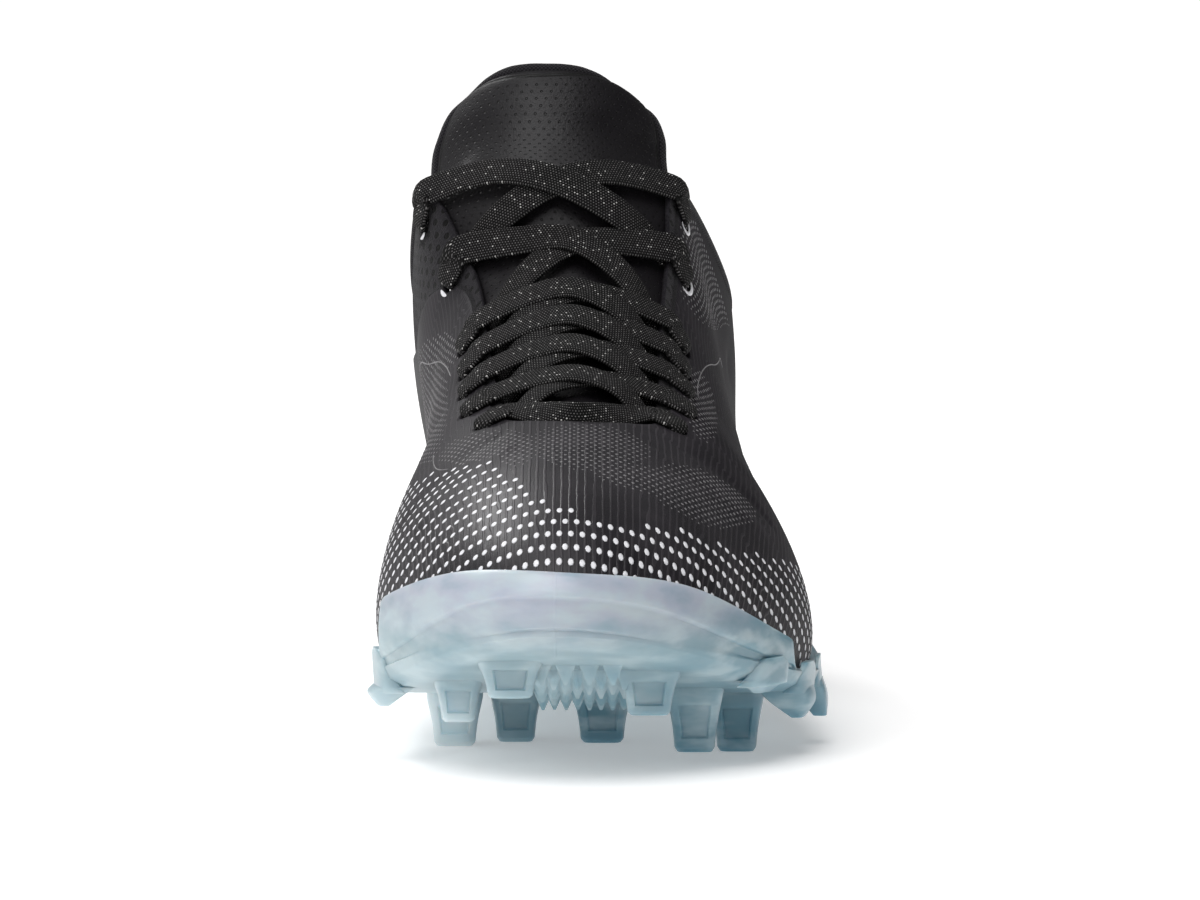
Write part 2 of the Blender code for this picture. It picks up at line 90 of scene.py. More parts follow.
Section = namedtuple(
    "Section",
    "name foot_x foot_y foot_z bulge rise edge_x edge_y edge_z lead_x lead_y lead_z skin rim guard",
)

# One row for each section of the last, from the toe round the lateral side, heel and medial side.
# foot: feather line, edge: throat or topline, bulge and rise: how the wall leaves the sole,
# lead: how it reaches the edge, skin: share of the wall under the skin layer,
# rim: height of the low rim, guard: height of the toe guard.
SECTIONS = (
    Section("toe_tip", -9, -140, 34.5, 8, 18, -6, -53, 75.5, 0, -56, -6, 0.97, 40, 47.4),
    Section("lateral_toe", 17, -125, 29.5, 8, 18, 4, -52, 75, 10, -44, -6, 0.97, 34, 43.0),
    Section("lateral_step", 41, -86, 19.5, 8, 17, 11, -46, 74.5, 18, -16, -5, 0.96, 20.5, 27.5),
    Section("lateral_ball", 47.5, -50, 16.5, 8, 16, 14, -33, 78.5, 20, -6, -8, 0.95, 18.5, 21),
    Section("lateral_waist_front", 45, -10, 18.5, 5, 22, 15, -9, 90, 13, -2, -16, 0.95, 22, 22),
    Section("lateral_waist", 39, 25, 20, 3, 28, 17, 16, 105, 10, 0, -20, 0.95, 25, 25),
    Section("lateral_throat_top", 35, 50, 20.5, 1, 32, 19, 36, 124, 8, 3, -26, 0.94, 27, 27),
    Section("lateral_ankle", 31, 88, 20.5, 4, 25, 32, 82, 94, 2, 0, -22, 0.93, 28, 28),
    Section("lateral_heel", 19, 126, 20.5, 8, 20, 13, 120, 98, 6, 7, -28, 0.88, 31, 31),
    Section("heel_back", -5, 138.2, 21, 9, 20, -5, 130, 102, 0, 9, -32, 0.84, 34, 34),
    Section("medial_heel", -28, 126, 20.5, 8, 20, -24, 120, 98, -6, 7, -28, 0.80, 31, 31),
    Section("medial_ankle", -37.5, 88, 21, 3, 25, -44, 82, 94, -2.5, 0, -22, 0.74, 28, 28),
    Section("medial_throat_top", -38, 50, 22, 1, 32, -43, 38, 123, -6, 3, -26, 0.60, 27, 27),
    Section("medial_waist", -39, 22, 22.5, 4, 28, -31, 14, 105, -12, 0, -20, 0.93, 27, 27),
    Section("medial_waist_front", -44, -15, 19.5, 6, 24, -27, -10, 90, -15, -2, -16, 0.95, 24, 24),
    Section("medial_ball", -47.5, -58, 16.5, 11, 18, -24, -33, 79, -20, -6, -8, 0.96, 19, 26),
    Section("medial_step", -45.5, -93, 21, 10, 18, -20, -47, 75.5, -18, -18, -5, 0.96, 24, 37),
    Section("medial_toe", -30, -127, 30.5, 8, 18, -14, -52, 75.5, -10, -44, -6, 0.97, 35, 46.0),
)
TURN = len(SECTIONS)
SECTION_VALUES = np.array([row[1:] for row in SECTIONS], dtype=float)
COLUMN = {name: index for index, name in enumerate(Section._fields[1:])}

TongueRow = namedtuple("TongueRow", "name y z left_x right_x wrap drop")

# Rows of the tongue that stand free above the top eyelets
TONGUE_TOP = (
    TongueRow("above_eyelets", 32, 136, -40.5, 16, 14, 8),
    TongueRow("neck", 37, 144, -39, 15.5, 12, 9),
    TongueRow("shoulder", 40.5, 149.5, -36.5, 13, 11, 9),
    TongueRow("crest", 43, 152.5, -32.5, 7, 8, 8),
)


def catmull_rom(before, start, end, after, share):
    """Smooth value between start and end."""
    slope_start = (end - before) / 2.0
    slope_end = (after - start) / 2.0
    a = 2.0 * (start - end) + slope_start + slope_end
    b = 3.0 * (end - start) - 2.0 * slope_start - slope_end
    return ((a * share + b) * share + slope_start) * share + start


def resample(rows, places):
    """Smooth values of an open list of rows at places counted in rows."""
    rows = np.asarray(rows, dtype=float)
    places = np.asarray(places, dtype=float)
    last = len(rows) - 1
    first = np.clip(np.floor(places).astype(int), 0, last - 1)
    share = (places - first).reshape((-1,) + (1,) * (rows.ndim - 1))
    picks = [rows[np.clip(first + step, 0, last)] for step in (-1, 0, 1, 2)]
    return catmull_rom(*picks, share)


def unit(vectors):
    length = np.linalg.norm(vectors, axis=-1, keepdims=True)
    return vectors / np.maximum(length, 1e-9)


def smooth_step(low, high, value):
    """0 below low, 1 above high, and soft between."""
    share = np.clip((value - low) / (high - low), 0.0, 1.0)
    return share * share * (3.0 - 2.0 * share)


def section_at(spoke):
    """Values of the section table, blended round the closed outline."""
    spoke = np.asarray(spoke, dtype=float)
    first = np.floor(spoke).astype(int)
    share = (spoke - first)[..., None]
    picks = [SECTION_VALUES[(first + step) % TURN] for step in (-1, 0, 1, 2)]
    return catmull_rom(*picks, share)


def section_value(spoke, name):
    return section_at(spoke)[..., COLUMN[name]]


def section_vector(values, name):
    start = COLUMN[name + "_x"]
    return values[..., start:start + 3]


def feather_outward(spoke):
    """Level direction that points away from the foot at the feather line."""
    along = section_at(spoke + NUDGE) - section_at(spoke - NUDGE)
    foot = section_vector(along, "foot") * (1.0, 1.0, 0.0)
    return unit(np.cross(foot, UP))


def wall_point(spoke, share):
    """Outer face of the upper: a Bezier wall from the feather line to the edge."""
    spoke, share = np.broadcast_arrays(np.asarray(spoke, float), np.asarray(share, float))
    values = section_at(spoke)
    foot = section_vector(values, "foot")
    edge = section_vector(values, "edge")
    leave = foot + values[..., COLUMN["bulge"], None] * feather_outward(spoke)
    leave = leave + values[..., COLUMN["rise"], None] * UP
    reach = edge + section_vector(values, "lead")
    share = share[..., None]
    rest = 1.0 - share
    return foot * rest**3 + leave * 3.0 * rest**2 * share + reach * 3.0 * rest * share**2 + edge * share**3


def wall_rise(spoke, share):
    """Direction up the wall."""
    low = np.maximum(share - NUDGE, 0.0)
    high = np.minimum(share + NUDGE, 1.0)
    return unit(wall_point(spoke, high) - wall_point(spoke, low))


def wall_normal(spoke, share):
    """Outward direction of the upper's face."""
    spoke = np.asarray(spoke, dtype=float)
    share = np.asarray(share, dtype=float)
    around = wall_point(spoke + NUDGE, share) - wall_point(spoke - NUDGE, share)
    return unit(np.cross(around, wall_rise(spoke, share)))


def wall_offset(spoke, share, distance):
    """Point at a distance outside the upper's face."""
    distance = np.asarray(distance, dtype=float)
    return wall_point(spoke, share) + distance[..., None] * wall_normal(spoke, share)


def share_where(spoke, is_past):
    """Smallest share of each wall for which the test holds, by halving."""
    low = np.zeros_like(np.asarray(spoke, dtype=float))
    high = np.ones_like(low)
    for _ in range(HALVINGS):
        middle = (low + high) / 2.0
        past = is_past(middle)
        high = np.where(past, middle, high)
        low = np.where(past, low, middle)
    return high


def share_at_height(spoke, height):
    return share_where(spoke, lambda share: wall_point(spoke, share)[..., 2] >= height)


def share_below_edge(spoke, distance):
    """Share of the wall that ends a distance short of the edge."""
    edge = wall_point(spoke, 1.0)
    return share_where(
        spoke, lambda share: np.linalg.norm(wall_point(spoke, share) - edge, axis=-1) <= distance
    )


def rim_share(spoke):
    """Share of the wall that the plate's rim covers."""
    spoke = np.asarray(spoke, dtype=float) % TURN
    in_front = (spoke < STEP_SECTION) | (spoke > TURN - STEP_SECTION)
    height = np.where(in_front, section_value(spoke, "guard"), section_value(spoke, "rim"))
    return share_at_height(spoke, height)


def from_toe(spokes):
    """Spokes counted from the toe to both sides, negative on the medial side."""
    return np.where(spokes > TURN / 2.0, spokes - TURN, spokes)


def to_linear(color):
    """Scene-linear value, by the sRGB curve, of a colour written as it looks on screen, from 0 to 255."""
    share = np.asarray(color, dtype=float) / 255.0
    return np.where(share <= 0.04045, share / 12.92, ((share + 0.055) / 1.055) ** 2.4)


def grid_faces(rows, columns, close_rows=False, close_columns=False, start=0):
    """Quads of a grid of points that is stored row by row."""
    row = np.arange(rows if close_rows else rows - 1)[:, None]
    column = np.arange(columns if close_columns else columns - 1)[None, :]
    next_row = (row + 1) % rows * columns
    next_column = (column + 1) % columns
    here = row * columns
    corners = (here + column, here + next_column, next_row + next_column, next_row + column)
    return start + np.stack(np.broadcast_arrays(*corners), axis=-1).reshape(-1, 4)


def make_piece(name, points, faces, materials, chart=None):
    """Object from points in millimetres, riding on the shoe's body."""
    mesh = bpy.data.meshes.new(name)
    corners = np.asarray(points).reshape(-1, 3) * MM
    mesh.from_pydata(corners.tolist(), [], [list(face) for face in faces])
    for material in materials:
        mesh.materials.append(material)
    if chart is not None:
        layer = mesh.attributes.new("chart", "FLOAT_VECTOR", "POINT")
        layer.data.foreach_set("vector", np.asarray(chart, dtype=np.float32).reshape(-1))
    mesh.shade_smooth()
    piece = bpy.data.objects.new(name, mesh)
    bpy.context.scene.collection.objects.link(piece)
    face_outward(piece)
    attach(piece, BODY)
    return piece


def face_outward(piece):
    bm = bmesh.new()
    bm.from_mesh(piece.data)
    bmesh.ops.recalc_face_normals(bm, faces=bm.faces)
    bm.to_mesh(piece.data)
    bm.free()


def rounded_outline(sides, squareness):
    """Shares across and up, from -1 to 1, of the points round a rectangle with round corners."""
    angle = (np.arange(sides) + 0.5) / sides * 2.0 * math.pi
    return [np.sign(share) * np.abs(share) ** squareness for share in (np.cos(angle), np.sin(angle))]


def strap_points(centers, normals, half_width, half_thickness, sides, squareness):
    """Rings of a flat strap or round cord along a path."""
    along = unit(np.gradient(centers, axis=0))
    across = unit(np.cross(along, normals))
    normals = np.cross(across, along)
    wide, thick = rounded_outline(sides, squareness)
    wide = np.broadcast_to(half_width, len(centers))[:, None] * wide
    thick = np.broadcast_to(half_thickness, len(centers))[:, None] * thick
    points = centers[:, None] + wide[..., None] * across[:, None]
    points = points + thick[..., None] * normals[:, None]
    run = np.concatenate(([0.0], np.cumsum(np.linalg.norm(np.diff(centers, axis=0), axis=1))))
    return points, np.stack(np.broadcast_arrays(run[:, None], wide, thick), axis=-1)


def strap_faces(rings, sides, start=0):
    """Closed skin of one strap with both ends capped."""
    faces = [tuple(face) for face in grid_faces(rings, sides, close_columns=True, start=start)]
    faces.append(tuple(start + np.arange(sides)))
    faces.append(tuple(start + (rings - 1) * sides + np.arange(sides)))
    return faces


def strap_piece(name, material, straps):
    """One piece from several straps, each with its points and chart."""
    points, charts, faces = [], [], []
    start = 0
    for ring_points, chart in straps:
        rings, sides = ring_points.shape[:2]
        points.append(ring_points.reshape(-1, 3))
        charts.append(chart.reshape(-1, 3))
        faces.extend(strap_faces(rings, sides, start))
        start += rings * sides
    return make_piece(name, np.concatenate(points), faces, [material], np.concatenate(charts))


def sheet(above, below):
    """Points and faces of a closed body between two grids of points."""
    rows, columns = above.shape[:2]
    count = rows * columns
    quads = grid_faces(rows, columns)
    faces = [*quads, *(quads[:, ::-1] + count)]
    index = np.arange(count).reshape(rows, columns)
    border = [*index[0, :-1], *index[:-1, -1], *index[-1, :0:-1], *index[:0:-1, 0]]
    for first, second in zip(border, border[1:] + border[:1]):
        faces.append((first, first + count, second + count, second))
    return np.concatenate((above.reshape(-1, 3), below.reshape(-1, 3))), faces


Ramp = namedtuple("Ramp", "low high start end", defaults=(0.0, 1.0))
Grain = namedtuple("Grain", "scale detail roughness", defaults=(3.0, 0.55))
Relief = namedtuple("Relief", "depth strength")
Cells = namedtuple("Cells", "run rise wide tall", defaults=(1.0, 1.0))

# Even number of rows that keeps the counted rows of a staggered pattern above zero
ROWS_BEFORE = 40.0


class Term:
    """Output of a shading node, used in sums and products like a number."""

    def __init__(self, finish, socket):
        self.finish = finish
        self.socket = socket

    def apply(self, operation, other=0.0):
        return self.finish.math(operation, self, other)

    def __rsub__(self, other):
        return self.finish.math("SUBTRACT", other, self)

    __add__ = partialmethod(apply, "ADD")
    __sub__ = partialmethod(apply, "SUBTRACT")
    __mul__ = partialmethod(apply, "MULTIPLY")
    __truediv__ = partialmethod(apply, "DIVIDE")
    __mod__ = partialmethod(apply, "MODULO")
    __pow__ = partialmethod(apply, "POWER")
    __abs__ = partialmethod(apply, "ABSOLUTE")
    floor = partialmethod(apply, "FLOOR")
    fract = partialmethod(apply, "FRACT")
    sine = partialmethod(apply, "SINE")
    larger = partialmethod(apply, "MAXIMUM")
    above = partialmethod(apply, "GREATER_THAN")


class Finish:
    """A procedural material and short calls for its nodes."""

    def __init__(self, name, color, roughness, **inputs):
        self.material = bpy.data.materials.new(name)
        self.material.use_nodes = True
        self.tree = self.material.node_tree
        self.shader = self.tree.nodes["Principled BSDF"]
        self.set("Base Color", color)
        self.set("Roughness", roughness)
        for label, value in inputs.items():
            self.set(label.replace("_", " ").title().replace("Ior", "IOR"), value)

    def set(self, label, value):
        """Give the shader a plain value or the output of a node."""
        self.feed(self.shader.inputs[label], value)

    def feed(self, socket, value):
        if isinstance(value, Term):
            self.tree.links.new(value.socket, socket)
        elif socket.type == "RGBA":
            socket.default_value = (*tuple(value)[:3], 1.0)
        else:
            socket.default_value = value

    def node(self, kind, inputs, output=0, **settings):
        """Output of a new node; its inputs are given by place or by label."""
        node = self.tree.nodes.new(kind)
        for label, value in settings.items():
            setattr(node, label, value)
        for place, value in inputs.items():
            self.feed(node.inputs[place], value)
        return Term(self, node.outputs[output])

    def place(self):
        """Place on the object, in metres."""
        return self.node("ShaderNodeTexCoord", {}, "Object")

    def chart(self):
        """Place on the piece's own chart, in millimetres."""
        return self.node("ShaderNodeAttribute", {}, "Vector", attribute_name="chart")

    def math(self, operation, first, second=0.0):
        return self.node("ShaderNodeMath", {0: first, 1: second}, operation=operation)

    def split(self, vector):
        outputs = self.node("ShaderNodeSeparateXYZ", {0: vector}).socket.node.outputs
        return [Term(self, socket) for socket in outputs]

    def scale(self, vector, factors):
        return self.node("ShaderNodeVectorMath", {0: vector, 1: factors}, operation="MULTIPLY")

    def noise(self, vector, grain):
        labels = ("Scale", "Detail", "Roughness")
        return self.node("ShaderNodeTexNoise", {"Vector": vector, **dict(zip(labels, grain))}, "Fac")

    def threads(self, scale):
        """Distance from the middle of small uneven cells."""
        inputs = {"Vector": self.place(), "Scale": scale, "Randomness": 1.0}
        return self.node("ShaderNodeTexVoronoi", inputs, "Distance")

    def ramp(self, value, ramp):
        """Soft change from start to end while value goes from low to high."""
        inputs = dict(enumerate((value, *ramp)))
        return self.node("ShaderNodeMapRange", inputs, interpolation_type="SMOOTHSTEP")

    def blend(self, share, first, second):
        """Colour between two colours."""
        return self.node("ShaderNodeMix", {0: share, 6: first, 7: second}, 2, data_type="RGBA")

    def staggered(self, run, rise, cells):
        """Row and column in a staggered pattern, and the squared way from the middle of the cell."""
        level = rise / cells.rise
        row = level.floor()
        step = run / cells.run + (row + ROWS_BEFORE) % 2.0 * 0.5
        across = (step.fract() - 0.5) * cells.wide
        down = (level.fract() - 0.5) * cells.tall
        return row, step.floor(), across**2.0 + down**2.0

    def bump(self, height, relief):
        """Relief of the given depth in millimetres."""
        inputs = {"Height": height, "Distance": relief.depth * MM, "Strength": relief.strength}
        self.set("Normal", self.node("ShaderNodeBump", inputs, "Normal"))


# Mesh of the upper: spokes round the foot, and rows up the skin, up the collar and down the lining
UPPER_SPOKES = 468
SKIN_ROWS = 56
COLLAR_ROWS = 10
LINING_ROWS = 24
EDGE_ROUND = 0.35
EYELET_SIDES = 20
EYELET_CUT = 4.0

Crease = namedtuple("Crease", "name spoke_a share_a spoke_b share_b width depth")

# Soft troughs of the worn-in flex lines and of the skin's pull at the lacing; a ridge has a negative depth
CREASES = (
    Crease("vamp_flex_lateral", 1.6, 0.90, 2.5, 0.52, 4.5, 0.55),
    Crease("vamp_flex_medial", 16.5, 0.88, 15.7, 0.50, 4.5, 0.65),
    Crease("vamp_roll_lateral", 1.2, 0.80, 2.1, 0.50, 5.0, -0.35),
    Crease("vamp_roll_medial", 16.9, 0.80, 16.2, 0.48, 5.0, -0.45),
    Crease("waist_fold_medial", 14.2, 0.72, 13.3, 0.42, 6.0, 0.8),
    Crease("waist_fold_lateral", 4.1, 0.70, 4.9, 0.42, 9.0, 0.35),
    Crease("ankle_fold_lateral", 6.5, 0.62, 7.2, 0.48, 9.0, 0.6),
    Crease("ankle_fold_medial", 11.7, 0.48, 11.1, 0.40, 7.0, 0.7),
    Crease("heel_hollow", 8.6, 0.66, 9.4, 0.66, 9.0, 0.7),
)
CREASE_STEPS = 24
CREASE_END_REACH = 0.35


def crease_depth(points):
    """How far the skin sinks at each point, summed over the creases."""
    depth = np.zeros(points.shape[:-1])
    for crease in CREASES:
        step = np.linspace(0.0, 1.0, CREASE_STEPS)
        path = wall_point(
            crease.spoke_a + (crease.spoke_b - crease.spoke_a) * step,
            crease.share_a + (crease.share_b - crease.share_a) * step,
        )
        reach = crease.width * (CREASE_END_REACH + (1.0 - CREASE_END_REACH) * np.sin(math.pi * step))
        away = np.linalg.norm(points[..., None, :] - path, axis=-1) / reach
        depth += crease.depth * np.exp(-(away.min(axis=-1) ** 2))
    return depth


def eyelet_places():
    """Spoke and share of each punched eyelet, both sides of the throat."""
    near = np.array(EYELET_SPOKES)
    spokes = np.concatenate((near, TURN - near))
    return spokes, share_below_edge(spokes, EYELET_INSET)


def punch_eyelets(piece):
    """Cut the lace holes through the wall."""
    spokes, shares = eyelet_places()
    bm = bmesh.new()
    for point, normal in zip(wall_point(spokes, shares), wall_normal(spokes, shares)):
        turn = Vector(normal).to_track_quat("Z", "Y").to_matrix().to_4x4()
        turn.translation = Vector(point) * MM
        bmesh.ops.create_cone(
            bm, cap_ends=True, segments=EYELET_SIDES, radius1=EYELET_DIAMETER / 2.0 * MM,
            radius2=EYELET_DIAMETER / 2.0 * MM, depth=WALL * EYELET_CUT * MM, matrix=turn,
        )
    cut(piece, bm, "DIFFERENCE")


def cut(piece, bm, operation, blocks_meet=False):
    """Join a tool to a piece, or cut it out of the piece; the tool's own blocks may run into each other."""
    mesh = bpy.data.meshes.new("tool")
    bm.to_mesh(mesh)
    bm.free()
    for material in piece.data.materials:
        mesh.materials.append(material)
    mesh.shade_smooth()
    tool = bpy.data.objects.new("tool", mesh)
    bpy.context.scene.collection.objects.link(tool)
    modifier = piece.modifiers.new("tool", "BOOLEAN")
    modifier.operation = operation
    modifier.solver = "EXACT"
    modifier.use_self = blocks_meet
    modifier.object = tool
    apply_modifiers(piece)
    bpy.data.objects.remove(tool, do_unlink=True)
    bpy.data.meshes.remove(mesh)


def apply_modifiers(piece):
    graph = bpy.context.evaluated_depsgraph_get()
    shaped = bpy.data.meshes.new_from_object(piece.evaluated_get(graph))
    old = piece.data
    piece.modifiers.clear()
    piece.data = shaped
    bpy.data.meshes.remove(old)
    shaped.name = piece.name


def build_upper(materials):
    """Skin, collar and lining as one hollow shell with its creases and eyelets."""
    spokes = np.arange(UPPER_SPOKES) / UPPER_SPOKES * TURN
    skin = section_value(spokes, "skin")
    textile = skin + STEP_RUN
    skin_shares = skin * np.linspace(0.0, 1.0, SKIN_ROWS)[:, None]
    collar_shares = textile + (1.0 - textile) * np.linspace(0.0, 1.0, COLLAR_ROWS)[:, None]
    lining_shares = np.linspace(1.0, 0.0, LINING_ROWS)[:, None] * np.ones(UPPER_SPOKES)
    shares = np.concatenate((skin_shares, collar_shares, lining_shares))
    depths = np.zeros(len(shares))
    depths[SKIN_ROWS:] = COLLAR_STEP
    depths[SKIN_ROWS + COLLAR_ROWS:] = WALL
    sunk = depths[:, None] + crease_depth(wall_point(spokes, shares))
    points = wall_offset(spokes, shares, -sunk)
    edge_rows = slice(SKIN_ROWS + COLLAR_ROWS - 1, SKIN_ROWS + COLLAR_ROWS + 1)
    points[edge_rows] += EDGE_ROUND * wall_rise(spokes, np.ones(UPPER_SPOKES))

    chart = np.zeros(points.shape)
    chart[..., 0], chart[..., 1] = lattice_place(spokes, shares)
    ring = np.linalg.norm(np.diff(points[-LINING_ROWS // 2], axis=0, append=0.0), axis=1)
    chart[SKIN_ROWS:, :, 0] = np.cumsum(ring)
    chart[SKIN_ROWS:, :, 1] = points[SKIN_ROWS:, :, 2]
    chart[..., 2] = rib_share(spokes)

    faces = grid_faces(len(shares), UPPER_SPOKES, close_rows=True, close_columns=True)
    piece = make_piece("upper_shell", points, faces, materials, chart)
    layer = np.zeros((len(shares), UPPER_SPOKES), dtype=np.int32)
    layer[SKIN_ROWS - 1:SKIN_ROWS + COLLAR_ROWS - 1] = 1
    layer[SKIN_ROWS + COLLAR_ROWS - 1:] = 2
    piece.data.polygons.foreach_set("material_index", layer.reshape(-1))
    punch_eyelets(piece)
    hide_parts("upper")
    return piece


# Rows of the printed lattice are cuts of the skin by planes with this normal, over a reach of spokes on both
# sides of the toe. A tiny climb keeps the levels rising on level places, and the skin's ribs fade by spoke
ROW_NORMAL = np.array((0.0, 0.77, 0.64))
LATTICE_REACH = 7.4
LATTICE_SPOKES = 741
LATTICE_SHARES = 260
LATTICE_LOW = -86.0
LATTICE_HIGH = 108.0
LATTICE_CLIMB = 1e-6
RIB_FADE = (4.4, 6.4)


class Lattice:
    """Rows of printed marks: their share of each wall, and the run along each row."""

    def __init__(self, pitch):
        self.spokes = np.linspace(-LATTICE_REACH, LATTICE_REACH, LATTICE_SPOKES)
        self.levels = np.arange(LATTICE_LOW, LATTICE_HIGH, pitch)
        shares = np.linspace(0.0, 1.0, LATTICE_SHARES)
        heights = wall_point(self.spokes[:, None], shares) @ ROW_NORMAL
        heights = np.maximum.accumulate(heights + LATTICE_CLIMB * np.arange(LATTICE_SHARES), axis=1)
        columns = [np.interp(self.levels, column, shares, np.nan, np.nan) for column in heights]
        self.shares = np.array(columns).T
        self.runs = np.array([self.row_run(row) for row in self.shares])

    def row_run(self, shares):
        """Signed length along one row, from the toe's middle to both sides."""
        points = wall_point(self.spokes, np.nan_to_num(shares))
        run = np.full(LATTICE_SPOKES, np.nan)
        middle = LATTICE_SPOKES // 2
        sides = {1.0: np.arange(middle, LATTICE_SPOKES), -1.0: np.arange(middle, -1, -1)}
        for sign, side in sides.items():
            side = side[~np.isnan(shares[side])]
            if len(side) < 2:
                continue
            steps = np.linalg.norm(np.diff(points[side], axis=0), axis=1)
            run[side] = points[side[0], 0] + sign * np.concatenate(([0.0], np.cumsum(steps)))
        return run


def lattice_place(spokes, shares):
    """Run along the row, and level of the row, at each point of a grid of the upper."""
    rows = Lattice(bpy.context.scene.shoe_prints.row_pitch / MM)
    level = wall_point(spokes, shares) @ ROW_NORMAL
    run = np.zeros(shares.shape)
    for column, spoke in enumerate(from_toe(spokes)):
        if abs(spoke) > LATTICE_REACH:
            continue
        near = int(np.argmin(np.abs(rows.spokes - spoke)))
        known = ~np.isnan(rows.runs[:, near])
        run[:, column] = np.interp(level[:, column], rows.levels[known], rows.runs[known, near])
    return run, level


def rib_share(spokes):
    """Ribs cover the vamp and fade out along the quarters."""
    return 1.0 - smooth_step(*RIB_FADE, np.abs(from_toe(spokes)))


def photo_pixel(points):
    """Place of points, in millimetres, in the photograph's frame."""
    view = bpy.context.scene.shoe_stage
    tilt = view.camera_elevation
    target = np.array(view.camera_target) / MM
    right = np.array((1.0, 0.0, 0.0))
    ahead = np.array((0.0, math.cos(tilt), -math.sin(tilt)))
    above = np.array((0.0, math.sin(tilt), math.cos(tilt)))
    away = points - target
    depth = view.camera_distance / MM + away @ ahead
    zoom = view.camera_lens / SENSOR_WIDTH * PHOTO_WIDTH
    x = PHOTO_WIDTH / 2.0 + zoom * (away @ right) / depth
    y = PHOTO_HEIGHT / 2.0 - zoom * (away @ above) / depth
    return x, y


Pixel = namedtuple("Pixel", "x y")

# Upper edge of the white dots on the toe, in pixels of the photograph
WHITE_EDGE = (
    Pixel(370, 560), Pixel(390, 515), Pixel(410, 485), Pixel(440, 468), Pixel(500, 463),
    Pixel(525, 490), Pixel(560, 505), Pixel(600, 520), Pixel(640, 525), Pixel(680, 527),
    Pixel(722, 544), Pixel(748, 552), Pixel(780, 560), Pixel(800, 565), Pixel(840, 575),
)

Patch = namedtuple("Patch", "name x y half_width half_height tilt")

# Clouds of small grey marks above the white dots, in pixels of the photograph
GREY_PATCHES = (
    Patch("vamp_left", 490, 452, 52, 22, -8),
    Patch("vamp_middle", 590, 448, 62, 24, 4),
    Patch("vamp_right", 702, 497, 58, 26, 22),
    Patch("vamp_edge", 640, 478, 46, 14, 10),
    Patch("quarter_front", 700, 405, 16, 38, -12),
    Patch("collar_lateral", 708, 265, 36, 66, -14),
    Patch("quarter_medial", 428, 410, 20, 56, 4),
    Patch("eyestay_medial", 440, 352, 24, 18, -30),
)

# Marks stay clear of the plate's rim and of the skin's end by these shares of the wall
MARK_RIM_SHARE = -0.01
MARK_SKIN_SHARE = 0.012
MARK_SHIFT = 0.5
MARK_ROW_LEAST = 4

# A mark is a low lens: its sides, how far its foot sinks by its lift, and the size of its top
DOT_SIDES = 8
DOT_SINK = 0.3
DOT_TOP = 0.65

# White dots grow smaller between these spokes, and rounder between these X on the flanks
WHITE_FADE = (2.9, 4.0)
WHITE_SHRINK = 0.6
DOT_FLANK = (12.0, 34.0)
DOT_FLANK_WIDER = 0.2
DOT_FLANK_LOWER = 0.3

# Grey marks keep clear of the white edge by some pixels, shrink at the end of a cloud,
# and fade towards the heel by Y, below a height that is soft too
GREY_CLEAR = 4.0
GREY_LEAST = 0.6
GREY_EDGE = (0.0, 0.3)
GREY_FADE = (10.0, 70.0)
GREY_FADE_TOP = (72.0, 92.0)
GREY_VISIBLE = 0.25


class Marks:
    """Points of the lattice that carry a print, as a table of columns."""

    def __init__(self, row_pitch, mark_pitch):
        rows = Lattice(row_pitch)
        spokes, shares = [], []
        for number, (row_shares, runs) in enumerate(zip(rows.shares, rows.runs)):
            known = ~np.isnan(runs)
            if known.sum() < MARK_ROW_LEAST:
                continue
            known_runs = runs[known]
            phase = (number * MARK_SHIFT) % 1.0
            first = math.ceil(known_runs.min() / mark_pitch - phase)
            places = (np.arange(first, known_runs.max() / mark_pitch - phase) + phase) * mark_pitch
            order = np.argsort(known_runs)
            for column, values in ((spokes, rows.spokes), (shares, row_shares)):
                column.append(np.interp(places, known_runs[order], values[known][order]))
        self.spoke = np.concatenate(spokes)
        self.share = np.concatenate(shares)
        self.keep(self.clear_of_edges())

    def keep(self, test):
        self.spoke = self.spoke[test]
        self.share = self.share[test]
        self.point = wall_point(self.spoke, self.share)

    def clear_of_edges(self):
        """True between the plate's rim and the end of the skin."""
        low = rim_share(self.spoke) + MARK_RIM_SHARE
        high = section_value(self.spoke, "skin") - MARK_SKIN_SHARE
        return (self.share > low) & (self.share < high)

    def below_white_edge(self):
        """Pixels between each mark and the edge of the white dots, more than zero below the edge."""
        x, y = photo_pixel(self.point)
        return y - np.interp(x, [pixel.x for pixel in WHITE_EDGE], [pixel.y for pixel in WHITE_EDGE])


def patch_share(marks):
    """How deep each mark lies in the grey clouds: 0 outside, 1 at a cloud's middle."""
    x, y = photo_pixel(marks.point)
    deepest = np.zeros(len(x))
    for patch in GREY_PATCHES:
        turn = math.radians(patch.tilt)
        across = (x - patch.x) * math.cos(turn) + (y - patch.y) * math.sin(turn)
        down = (y - patch.y) * math.cos(turn) - (x - patch.x) * math.sin(turn)
        away = np.hypot(across / patch.half_width, down / patch.half_height)
        deepest = np.maximum(deepest, 1.0 - away)
    return deepest


